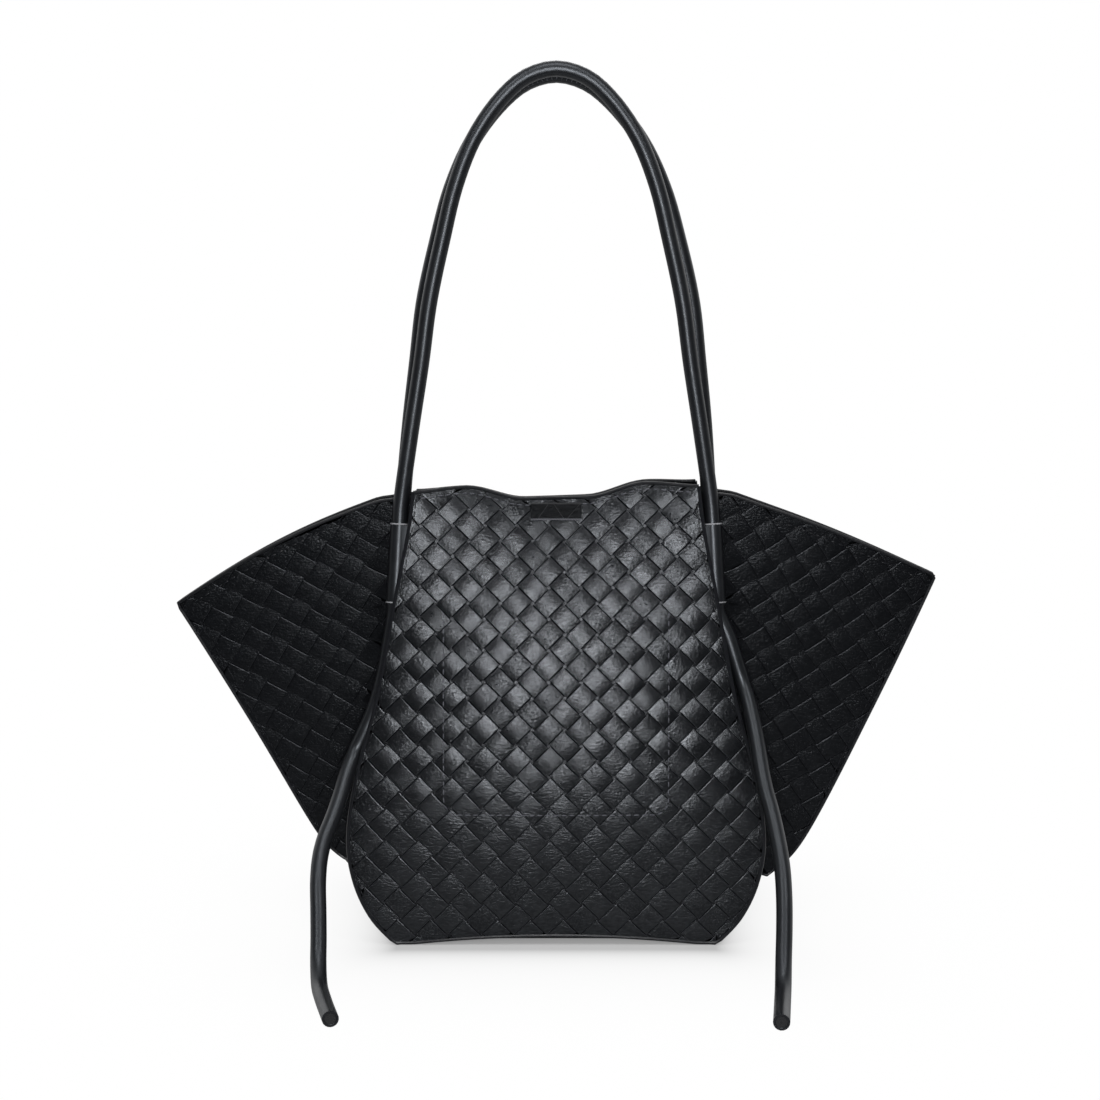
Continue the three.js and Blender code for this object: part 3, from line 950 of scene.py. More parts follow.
def woven_leather(colours, name="woven_cow_leather", shine=0.36):
    """Pigmented cow leather in strips: creased black grain, soft crown sheen, cut edges paler partly as
    painted highlight, painted shade between.
    """
    if name in bpy.data.materials:
        return bpy.data.materials[name]
    made, tree, shader, place = start_material(name)
    # The grain's pebbles are 0.4 mm; they are drawn at about 1.2 mm so that they show.
    grain = add_node(tree, "ShaderNodeTexNoise", {"Vector": place, "Scale": 800.0, "Detail": 3.0})
    pebbles = add_node(tree, "ShaderNodeTexVoronoi", {"Vector": place, "Scale": 900.0})
    # Creases are about 3 mm long and 1 mm from one to the next.
    level = add_node(tree, "ShaderNodeMapping", {"Vector": place, "Scale": (1.0, 1.0, 3.0)})
    creases = add_node(tree, "ShaderNodeTexNoise", {
        "Vector": level.outputs["Vector"], "Scale": 330.0, "Detail": 3.0, "Roughness": 0.65,
    }).outputs["Fac"]
    # Strips come from different places of the hide, and each place is about 30 mm wide.
    cloud = add_node(tree, "ShaderNodeTexNoise", {"Vector": place, "Scale": 30.0, "Detail": 2.0})
    tone = add_node(tree, "ShaderNodeAttribute", attribute_name="strip_tone").outputs["Fac"]
    mixed = add_node(tree, "ShaderNodeMath", {0: tone, 1: cloud.outputs["Fac"]}, operation="ADD").outputs[0]
    cut_and_shade = add_node(tree, "ShaderNodeAttribute", attribute_name="cut_edge_and_painted_shade").outputs["Fac"]

    # Colour: worn creases, cut edges paler partly as a painted highlight, and painted shade between strips
    worn = add_node(tree, "ShaderNodeMapRange", {"Value": creases, "From Min": 0.4, "From Max": 0.75})
    face = add_node(tree, "ShaderNodeMix", {
        "Factor": worn.outputs["Result"], "A": colours.leather, "B": toned(colours.leather, 1.6),
    }, data_type="RGBA")
    # Painted highlight, in part: the cut edges are tinted paler
    rim = add_node(tree, "ShaderNodeMath", {0: cut_and_shade, 1: 0.0}, operation="MAXIMUM")
    edge = add_node(tree, "ShaderNodeMath", {0: rim.outputs[0], 1: 1.6}, operation="POWER")
    tint = add_node(tree, "ShaderNodeMix", {
        "Factor": edge.outputs[0], "A": face.outputs[COLOUR_OUT], "B": colours.cut,
    }, data_type="RGBA")
    # Painted shade: marks below 0 darken to near black between strips, on the backing and on the magnet's
    # patch
    deep = add_node(tree, "ShaderNodeMapRange", {"Value": cut_and_shade, "From Min": -0.8, "From Max": -0.1})
    shown = add_node(tree, "ShaderNodeMix", {
        "Factor": deep.outputs["Result"], "A": STRIP_SHADE, "B": tint.outputs[COLOUR_OUT],
    }, data_type="RGBA")
    tree.links.new(shown.outputs[COLOUR_OUT], shader.inputs["Base Color"])

    # Sheen: folded in some strips and pebbled in others, and none where shade is painted
    pebbly = add_node(tree, "ShaderNodeMapRange", {"Value": mixed, "From Min": 1.0, "From Max": 1.25})
    dots = add_node(tree, "ShaderNodeMapRange", {
        "Value": pebbles.outputs["Distance"], "From Min": 0.2, "From Max": 0.62,
        "To Min": 1.4, "To Max": 0.55,
    })
    folds = add_node(tree, "ShaderNodeMapRange", {
        "Value": creases, "From Min": 0.36, "From Max": 0.64, "To Min": 0.68, "To Max": 1.32,
    })
    skin = add_node(tree, "ShaderNodeMix", {
        "Factor": pebbly.outputs["Result"], "A": folds.outputs["Result"], "B": dots.outputs["Result"],
    }, data_type="FLOAT")
    gloss = add_node(tree, "ShaderNodeMapRange", {
        "Value": cut_and_shade, "From Min": -0.6, "From Max": 0.0, "To Max": shine,
    })
    grained = add_node(tree, "ShaderNodeMath", {
        0: gloss.outputs["Result"], 1: skin.outputs[0],
    }, operation="MULTIPLY")
    tree.links.new(grained.outputs[0], shader.inputs["Specular IOR Level"])
    shader.inputs["Specular Tint"].default_value = WOVEN_SHEEN
    rough = add_node(tree, "ShaderNodeMapRange", {
        "Value": mixed, "From Max": 2.0, "To Min": 0.17, "To Max": 0.29,
    })
    tree.links.new(rough.outputs["Result"], shader.inputs["Roughness"])

    coarse = add_node(tree, "ShaderNodeBump", {"Height": creases, "Strength": 0.35, "Distance": 0.0006})
    fine = add_node(tree, "ShaderNodeBump", {
        "Height": grain.outputs["Fac"], "Strength": 0.5, "Distance": 0.0003,
        "Normal": coarse.outputs["Normal"],
    })
    tree.links.new(fine.outputs["Normal"], shader.inputs["Normal"])
    return made


def cord_leather(colours):
    """Calf leather rolled round a cotton core: smooth and tight, with a long narrow highlight."""
    if "rolled_calf_leather" in bpy.data.materials:
        return bpy.data.materials["rolled_calf_leather"]
    made, tree, shader, place = start_material("rolled_calf_leather")
    # Pores are 0.3 mm; they are drawn at about 1.1 mm so that they show. Creases are about 6 mm.
    grain = add_node(tree, "ShaderNodeTexNoise", {"Vector": place, "Scale": 900.0, "Detail": 2.0})
    creases = add_node(tree, "ShaderNodeTexNoise", {
        "Vector": place, "Scale": 160.0, "Detail": 3.0,
    }).outputs["Fac"]
    tint = add_node(tree, "ShaderNodeMix", {
        "Factor": creases, "A": colours.cord, "B": toned(colours.cord, 1.7),
    }, data_type="RGBA")
    tree.links.new(tint.outputs[COLOUR_OUT], shader.inputs["Base Color"])
    rough = add_node(tree, "ShaderNodeMapRange", {"Value": creases, "To Min": 0.31, "To Max": 0.43})
    tree.links.new(rough.outputs["Result"], shader.inputs["Roughness"])
    coarse = add_node(tree, "ShaderNodeBump", {"Height": creases, "Strength": 0.14, "Distance": 0.0006})
    fine = add_node(tree, "ShaderNodeBump", {
        "Height": grain.outputs["Fac"], "Strength": 0.05, "Distance": 0.0002,
        "Normal": coarse.outputs["Normal"],
    })
    tree.links.new(fine.outputs["Normal"], shader.inputs["Normal"])
    shader.inputs["Specular IOR Level"].default_value = 0.5
    shader.inputs["Specular Tint"].default_value = CORD_SHEEN
    return made


def cut_leather(colours):
    """Raw cut edge of the calf leather: dull, with pale fibres that are partly a painted highlight."""
    if "raw_calf_edge_and_highlight" in bpy.data.materials:
        return bpy.data.materials["raw_calf_edge_and_highlight"]
    made, tree, shader, place = start_material("raw_calf_edge_and_highlight")
    # Fibres are 0.1 mm; their tufts are drawn at about 1.1 mm so that they show.
    fibres = add_node(tree, "ShaderNodeTexNoise", {
        "Vector": place, "Scale": 900.0, "Detail": 3.0,
    }).outputs["Fac"]
    # Pale fibres: partly the edge's own colour, partly a painted highlight
    tint = add_node(tree, "ShaderNodeMix", {
        "Factor": fibres, "A": colours.edge, "B": colours.rim,
    }, data_type="RGBA")
    tree.links.new(tint.outputs[COLOUR_OUT], shader.inputs["Base Color"])
    bump = add_node(tree, "ShaderNodeBump", {"Height": fibres, "Strength": 0.4, "Distance": 0.0003})
    tree.links.new(bump.outputs["Normal"], shader.inputs["Normal"])
    shader.inputs["Roughness"].default_value = 0.7
    return made


def edge_paint(colours):
    """Acrylic edge paint over the cut layers: smooth, a little glossy, with slight brush waves."""
    if "acrylic_edge_paint" in bpy.data.materials:
        return bpy.data.materials["acrylic_edge_paint"]
    made, tree, shader, place = start_material("acrylic_edge_paint")
    # The brush leaves waves of about 3 mm.
    waves = add_node(tree, "ShaderNodeTexNoise", {
        "Vector": place, "Scale": 320.0, "Detail": 2.0,
    }).outputs["Fac"]
    tint = add_node(tree, "ShaderNodeMix", {
        "Factor": waves, "A": colours.edge, "B": toned(colours.edge, 1.5),
    }, data_type="RGBA")
    tree.links.new(tint.outputs[COLOUR_OUT], shader.inputs["Base Color"])
    rough = add_node(tree, "ShaderNodeMapRange", {"Value": waves, "To Min": 0.25, "To Max": 0.4})
    tree.links.new(rough.outputs["Result"], shader.inputs["Roughness"])
    bump = add_node(tree, "ShaderNodeBump", {"Height": waves, "Strength": 0.3, "Distance": 0.0003})
    tree.links.new(bump.outputs["Normal"], shader.inputs["Normal"])
    shader.inputs["Specular IOR Level"].default_value = 0.2
    return made


def sewing_thread(colours):
    """Bonded polyester thread: dull black with a grey glint where the twist turns up."""
    if "bonded_polyester_thread" in bpy.data.materials:
        return bpy.data.materials["bonded_polyester_thread"]
    made, tree, shader, place = start_material("bonded_polyester_thread")
    # The twist turns about every 0.9 mm.
    twist = add_node(tree, "ShaderNodeTexWave", {
        "Vector": place, "Scale": 390.0, "Distortion": 1.5,
    }, bands_direction="DIAGONAL").outputs["Fac"]
    tint = add_node(tree, "ShaderNodeMix", {
        "Factor": twist, "A": colours.thread, "B": toned(colours.thread, 1.8),
    }, data_type="RGBA")
    tree.links.new(tint.outputs[COLOUR_OUT], shader.inputs["Base Color"])
    bump = add_node(tree, "ShaderNodeBump", {"Height": twist, "Strength": 0.4, "Distance": 0.0002})
    tree.links.new(bump.outputs["Normal"], shader.inputs["Normal"])
    shader.inputs["Roughness"].default_value = 0.5
    return made


def lining_cloth(colours):
    """Cotton twill: matt charcoal with fine crossing threads."""
    if "cotton_twill" in bpy.data.materials:
        return bpy.data.materials["cotton_twill"]
    made, tree, shader, place = start_material("cotton_twill")
    # Threads lie 0.5 mm apart; they are drawn about 1.2 mm apart so that they show.
    warp, weft = (
        add_node(tree, "ShaderNodeTexWave", {
            "Vector": place, "Scale": 260.0, "Distortion": 0.6,
        }, bands_direction=direction).outputs["Fac"]
        for direction in ("DIAGONAL", "X")
    )
    threads = add_node(tree, "ShaderNodeMath", {0: warp, 1: weft}, operation="MULTIPLY").outputs[0]
    tint = add_node(tree, "ShaderNodeMix", {
        "Factor": threads, "A": toned(colours.cloth, 0.6), "B": colours.cloth,
    }, data_type="RGBA")
    tree.links.new(tint.outputs[COLOUR_OUT], shader.inputs["Base Color"])
    bump = add_node(tree, "ShaderNodeBump", {"Height": threads, "Strength": 0.5, "Distance": 0.0003})
    tree.links.new(bump.outputs["Normal"], shader.inputs["Normal"])
    shader.inputs["Roughness"].default_value = 0.9
    shader.inputs["Sheen Weight"].default_value = 0.2
    return made


def cord_core(colours):
    """Packed cotton in the cut end of the cord: dull black tufts."""
    if "packed_cotton_core" in bpy.data.materials:
        return bpy.data.materials["packed_cotton_core"]
    made, tree, shader, place = start_material("packed_cotton_core")
    # Yarns are about 0.9 mm thick.
    yarns = add_node(tree, "ShaderNodeTexVoronoi", {"Vector": place, "Scale": 1100.0}).outputs["Distance"]
    tint = add_node(tree, "ShaderNodeMix", {
        "Factor": yarns, "A": colours.cord, "B": colours.edge,
    }, data_type="RGBA")
    tree.links.new(tint.outputs[COLOUR_OUT], shader.inputs["Base Color"])
    bump = add_node(tree, "ShaderNodeBump", {"Height": yarns, "Strength": 0.6, "Distance": 0.0005})
    tree.links.new(bump.outputs["Normal"], shader.inputs["Normal"])
    shader.inputs["Roughness"].default_value = 0.85
    return made


def magnet_plate(colours):
    """Nickel plating on the clasp's steel: bright, with a faint brushed haze."""
    made, tree, shader, place = start_material("nickel_plated_steel")
    # The haze lies in clouds of about 2.5 mm.
    haze = add_node(tree, "ShaderNodeTexNoise", {
        "Vector": place, "Scale": 400.0, "Detail": 2.0,
    }).outputs["Fac"]
    rough = add_node(tree, "ShaderNodeMapRange", {"Value": haze, "To Min": 0.22, "To Max": 0.4})
    tree.links.new(rough.outputs["Result"], shader.inputs["Roughness"])
    shader.inputs["Base Color"].default_value = colours.steel
    shader.inputs["Metallic"].default_value = 1.0
    return made


def fibre_board(colours):
    """Grey-brown fibre board: dull and speckled with pressed fibres."""
    made, tree, shader, place = start_material("grey_fibre_board")
    # Specks are about 1.4 mm.
    fibres = add_node(tree, "ShaderNodeTexNoise", {
        "Vector": place, "Scale": 700.0, "Detail": 4.0,
    }).outputs["Fac"]
    tint = add_node(tree, "ShaderNodeMix", {
        "Factor": fibres, "A": toned(colours.board, 0.6), "B": colours.board,
    }, data_type="RGBA")
    tree.links.new(tint.outputs[COLOUR_OUT], shader.inputs["Base Color"])
    bump = add_node(tree, "ShaderNodeBump", {"Height": fibres, "Strength": 0.3, "Distance": 0.0003})
    tree.links.new(bump.outputs["Normal"], shader.inputs["Normal"])
    shader.inputs["Roughness"].default_value = 0.9
    return made


# Cord lines


def cord_behind(z, beside):
    """Middle of the cord, behind the panel and a set distance past its edge."""
    return Vector((half_width(z) + beside, SLEEVE_R + GAP + PANEL_T - seam_depth(z), z))


MOUTH = cord_behind(SLEEVE_TOP, MOUTH_BESIDE)
TAIL_START = cord_behind(SLEEVE_LOW, TAIL_BESIDE)
CORD_UP = (MOUTH - TAIL_START).normalized()


def arch_half(side, spread, shift, sink):
    """Middle of a handle's cord on one side, from the apex down into its sleeve."""
    rise = MOUTH + CORD_UP * CORD_R * 2
    top = -(CORD_R + HANDLE_GAP / 2)
    half = []
    for x, drop in ARCH:
        share = drop / (APEX - rise.z)
        wide = math.sin(math.pi * share)
        z = APEX - drop - sink * (1 - share)
        lean = (z - rise.z) / (APEX - rise.z)
        beside = side * (x + spread * wide) + shift * wide
        half.append(Vector((beside, rise.y + (top - rise.y) * lean, z)))
    return half + [Vector((side * p.x, p.y, p.z)) for p in (rise, MOUTH, MOUTH - CORD_UP * HANDLE_IN)]


def handle_line(spread=0.0, shift=0.0, sink=0.0):
    """Middle of a handle's cord, from inside its left sleeve over the arch to the right one."""
    left, right = (arch_half(side, spread, shift, sink) for side in (-1, 1))
    return smooth_line(left[:0:-1] + right, HANDLE_STEP)


def tail_line(route, x, y):
    """Middle of a tail's cord, from the sleeve's lower end to the cut end."""
    start = TAIL_START - CORD_UP * GAP
    first = [start, start - CORD_UP * CORD_R]
    return smooth_line([Vector((p.x * x, p.y * y, p.z)) for p in first] + route, TAIL_STEP)


# Operators


class TOTE_OT_stage(bpy.types.Operator):
    """Sets the camera, the white floor, the studio lights and the background."""

    bl_idname = "tote.stage"
    bl_label = "Stage"

    def execute(self, context):
        scene = context.scene
        scene.view_settings.view_transform = "Standard"
        camera = bpy.data.cameras.new("studio_camera")
        camera.sensor_width = SENSOR
        camera.lens = LENS
        viewer = bpy.data.objects.new("studio_camera", camera)
        viewer.location = CAMERA_AT
        viewer.rotation_euler = (math.radians(90 - CAMERA_DOWN), 0, 0)
        scene.collection.objects.link(viewer)
        scene.camera = viewer
        self.floor(scene, scene.tote_colours.floor)
        self.background(scene, scene.tote_colours.floor)
        for name, place, size, power in LAMPS:
            self.lamp(scene, name, Vector(place), size, power)
        return {"FINISHED"}

    def lamp(self, scene, name, place, size, power):
        """A soft rectangular lamp that looks at the bag."""
        light = bpy.data.lights.new(name, "AREA")
        light.shape = "RECTANGLE"
        light.size, light.size_y = size
        light.energy = power
        lamp = bpy.data.objects.new(name, light)
        lamp.location = place
        lamp.rotation_euler = (LAMP_TARGET - place).to_track_quat("-Z", "Y").to_euler()
        scene.collection.objects.link(lamp)

    def floor(self, scene, white):
        """A large white floor, from the picture's lower edge back, with a painted shadow round the base, in
        which the lamps' shadow shows too.
        """
        bm = bmesh.new()
        back = Matrix.Translation((0, FLOOR_BACK, 0))
        bmesh.ops.create_grid(bm, x_segments=1, y_segments=1, size=FLOOR_HALF, matrix=back)
        mesh = bpy.data.meshes.new("studio_floor")
        bm.to_mesh(mesh)
        bm.free()
        floor = bpy.data.objects.new("studio_floor", mesh)
        scene.collection.objects.link(floor)
        made, tree, shader, place = start_material("white_studio_paper")
        # The paper's mottle is about 0.3 m wide.
        mottle = add_node(tree, "ShaderNodeTexNoise", {"Vector": place, "Scale": 3.0})
        tint = add_node(tree, "ShaderNodeMix", {
            "Factor": mottle.outputs["Fac"], "A": toned(white, 0.5), "B": toned(white, 0.49),
        }, data_type="RGBA")
        tree.links.new(tint.outputs[COLOUR_OUT], shader.inputs["Base Color"])
        shader.inputs["Roughness"].default_value = 0.9
        shader.inputs["Specular IOR Level"].default_value = 0.0
        share = add_node(tree, "ShaderNodeMath", {
            0: self.seen(tree), 1: self.white_over_painted_shadow(tree, place),
        }, operation="MULTIPLY")
        glow = add_node(tree, "ShaderNodeEmission", {"Color": white, "Strength": 1.0})
        mix = add_node(tree, "ShaderNodeMixShader", {
            0: share.outputs[0], 1: shader.outputs[0], 2: glow.outputs[0],
        })
        tree.links.new(mix.outputs[0], tree.nodes["Material Output"].inputs["Surface"])
        mesh.materials.append(made)

    def white_over_painted_shadow(self, tree, place):
        """How far the floor's white glow covers the lamps' shadow: least under the base, painting a shadow
        round it, and nearly all further off.
        """
        parts = add_node(tree, "ShaderNodeSeparateXYZ", {"Vector": place})
        past = {}
        for axis, half in (("X", OUTLINE[0][0] * MM), ("Y", (SEAM_DEPTH_LOW + BELLY) * MM)):
            side = add_node(tree, "ShaderNodeMath", {0: parts.outputs[axis]}, operation="ABSOLUTE")
            over = add_node(tree, "ShaderNodeMath", {0: side.outputs[0], 1: half}, operation="SUBTRACT")
            kept = add_node(tree, "ShaderNodeMath", {0: over.outputs[0], 1: 0.0}, operation="MAXIMUM")
            past[axis] = kept.outputs[0]
        outside = add_node(tree, "ShaderNodeCombineXYZ", past)
        far = add_node(tree, "ShaderNodeVectorMath", {0: outside.outputs[0]}, operation="LENGTH")
        share = 1.0
        # Each part paints shadow that fades out with distance from the base
        for part, reach in PAINTED_SHADOWS:
            fade = add_node(tree, "ShaderNodeMath", {
                0: far.outputs["Value"], 1: -1 / reach,
            }, operation="MULTIPLY")
            dark = add_node(tree, "ShaderNodeMath", {0: fade.outputs[0]}, operation="EXPONENT")
            share = add_node(tree, "ShaderNodeMath", {
                0: dark.outputs[0], 1: -part, 2: share,
            }, operation="MULTIPLY_ADD").outputs[0]
        return share

    def seen(self, tree):
        """How much of the white floor a ray sees: all from the camera or through glass, less reflected."""
        path = add_node(tree, "ShaderNodeLightPath").outputs
        mirrored = add_node(tree, "ShaderNodeMath", {0: path["Is Glossy Ray"], 1: 0.25}, operation="MULTIPLY")
        first = add_node(tree, "ShaderNodeMath", {
            0: path["Is Camera Ray"], 1: mirrored.outputs[0],
        }, operation="MAXIMUM")
        both = add_node(tree, "ShaderNodeMath", {
            0: first.outputs[0], 1: path["Is Transmission Ray"],
        }, operation="MAXIMUM")
        return both.outputs[0]

    def background(self, scene, white):
        """A white background behind the bag, dim towards the camera, and a low even light."""
        world = bpy.data.worlds.new("white_studio")
        world.use_nodes = True
        scene.world = world
        tree = world.node_tree
        path = add_node(tree, "ShaderNodeLightPath").outputs
        place = add_node(tree, "ShaderNodeTexCoord").outputs["Generated"]
        parts = add_node(tree, "ShaderNodeSeparateXYZ", {"Vector": place})
        behind = add_node(tree, "ShaderNodeMapRange", {
            "Value": parts.outputs["Y"], "From Min": -0.1, "From Max": 0.5,
            "To Min": EVEN_LIGHT, "To Max": 1.0,
        })
        mirrored = add_node(tree, "ShaderNodeMath", {
            0: path["Is Glossy Ray"], 1: path["Is Transmission Ray"],
        }, operation="MAXIMUM")
        strength = add_node(tree, "ShaderNodeMath", {
            0: mirrored.outputs[0], 1: behind.outputs["Result"],
        }, operation="MULTIPLY")
        for least in (path["Is Camera Ray"], EVEN_LIGHT):
            strength = add_node(tree, "ShaderNodeMath", {
                0: strength.outputs[0], 1: least,
            }, operation="MAXIMUM")
        sky = tree.nodes["Background"]
        sky.inputs["Color"].default_value = white
        tree.links.new(strength.outputs[0], sky.inputs["Strength"])


class TOTE_OT_tails(bpy.types.Operator):
    """Hangs the four cut cord tails below their sleeves."""

    bl_idname = "tote.tails"
    bl_label = "Cord tails"

    def execute(self, context):
        sizes, colours = context.scene.tote_sizes, context.scene.tote_colours
        materials = [cord_leather(colours), edge_paint(colours), cord_core(colours), sewing_thread(colours)]
        tails = [
            ("right_tail_front", RIGHT_TAIL, 1, 1),
            ("left_tail_front", LEFT_TAIL, -1, 1),
            ("right_tail_rear", REAR_TAIL, 1, -1),
            ("left_tail_rear", [(-x, y, z) for x, y, z in REAR_TAIL], -1, -1),
        ]
        for node, route, x, y in tails:
            line = tail_line([Vector(p) for p in route], x, y)
            bm = new_leather()
            sweep(bm, line, sizes.cord / MM, CORD_SIDES, facing=(0, y, 0), cap=(1, 2))
            self.seam(bm, line, sizes, y)
            piece = finish_piece(bm, "cord_" + node, materials)
            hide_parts(node)
            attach(piece, "bag")
        return {"FINISHED"}

    def seam(self, bm, line, sizes, y):
        """The whipped seam along the cord, on the side towards the bag."""
        outs = [place.col[0].xyz for place in turned_frames(line, (0, y, 0))]
        seam = [at + out * (sizes.cord / MM - WHIP_SUNK_TAIL) for at, out in zip(line, outs)]
        stitch_row(bm, seam, outs, sizes, 3, pitch=WHIP_PITCH, swing=math.pi / 2)


class TOTE_OT_handles(bpy.types.Operator):
    """Rolls the two arched cord handles out of their sleeves."""

    bl_idname = "tote.handles"
    bl_label = "Cord handles"

    def execute(self, context):
        sizes, colours = context.scene.tote_sizes, context.scene.tote_colours
        materials = [cord_leather(colours), sewing_thread(colours)]
        handles = [
            ("front_handle", 1, handle_line()),
            ("rear_handle", -1, handle_line(REAR_SPREAD, REAR_SHIFT, REAR_SINK)),
        ]
        for node, side, line in handles:
            bm = new_leather()
            sweep(bm, line, sizes.cord / MM, CORD_SIDES)
            places = turned_frames(line, (0, 1, 0))
            outs = [(place.col[0].xyz - place.col[1].xyz * WHIP_TURN).normalized() for place in places]
            seam = [at + out * (sizes.cord / MM - WHIP_SUNK_HANDLE) for at, out in zip(line, outs)]
            sewn = slice(WHIP_BARE, -WHIP_BARE)
            stitch_row(bm, seam[sewn], outs[sewn], sizes, 1, pitch=WHIP_PITCH, swing=math.pi / 2)
            piece = finish_piece(bm, "cord_" + node, materials, (1, side))
            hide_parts(node)
            start = Vector((0, MOUTH.y * side, MOUTH.z - BEND_LOW)) * MM
            end = start + Vector((0, -BEND_TILT * side, 1)) * BEND_LONG * MM
            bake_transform(piece, "bag", node, start=start, end=end)
        return {"FINISHED"}


class TOTE_OT_sleeves(bpy.types.Operator):
    """Wraps the sleeves that hold the cords behind the panels' edges."""

    bl_idname = "tote.sleeves"
    bl_label = "Cord sleeves"

    def execute(self, context):
        colours = context.scene.tote_colours
        materials = [cord_leather(colours), cut_leather(colours)]
        for side, x in (("right", 1), ("left", -1)):
            for end, y in (("front", 1), ("rear", -1)):
                node = f"{side}_sleeve_{end}"
                piece = finish_piece(self.wrap(), "wrapped_" + node, materials, (x, y))
                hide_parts(node)
                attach(piece, "bag")
        return {"FINISHED"}

    def wrap(self):
        """A strip wrapped round the cord, its pale cut lips, partly a painted highlight, and the flange sewn
        behind the panel.
        """
        bm = new_leather()
        long = (MOUTH - TAIL_START).length
        front = (Vector((0, -1, 0)) + CORD_UP * CORD_UP.y).normalized()
        turn = Matrix((front.cross(CORD_UP), front, CORD_UP)).transposed().to_4x4()
        middle = Matrix.Translation((MOUTH + TAIL_START) / 2) @ turn
        radius = SLEEVE_R - SLEEVE_INSET
        bmesh.ops.create_cone(
            bm, cap_ends=False, segments=24, radius1=radius, radius2=radius, depth=long - SLEEVE_SHORT,
            matrix=middle,
        )
        bmesh.ops.recalc_face_normals(bm, faces=bm.faces)
        bmesh.ops.solidify(bm, geom=bm.faces[:], thickness=radius - CORD_R - SLEEVE_SLIP)
        for end in (MOUTH - CORD_UP * LIP_IN, TAIL_START + CORD_UP * LIP_IN):
            self.lip(bm, Matrix.Translation(end) @ turn, radius - SLEEVE_INSET)
        known = set(bm.faces)
        size = Matrix.Diagonal((FLANGE_WIDE, FLANGE_T, long - FLANGE_SHORT, 1))
        bmesh.ops.create_cube(bm, size=1.0, matrix=middle @ Matrix.Translation(FLANGE_AT) @ size)
        flange = [face for face in bm.faces if face not in known]
        edges = list({edge for face in flange for edge in face.edges})
        bmesh.ops.bevel(
            bm, geom=edges, offset=FLANGE_ROUND, offset_type="OFFSET", affect="EDGES", segments=2,
            profile=0.5, material=-1,
        )
        return bm

    def lip(self, bm, place, radius):
        """The pale cut lip round one end of a sleeve, partly a painted highlight."""
        known = set(bm.faces)
        start = Matrix.Translation((radius, 0, 0)) @ Matrix.Rotation(math.pi / 2, 4, "X")
        ring = bmesh.ops.create_circle(bm, segments=8, radius=LIP_R, matrix=place @ start)["verts"]
        edges = list({edge for vert in ring for edge in vert.link_edges})
        bmesh.ops.spin(
            bm, geom=ring + edges, cent=place.translation, axis=place.col[2].xyz, angle=2 * math.pi, steps=24,
            use_merge=True,
        )
        faces = [face for face in bm.faces if face not in known]
        for face in faces:
            face.material_index = 1
        bmesh.ops.recalc_face_normals(bm, faces=faces)


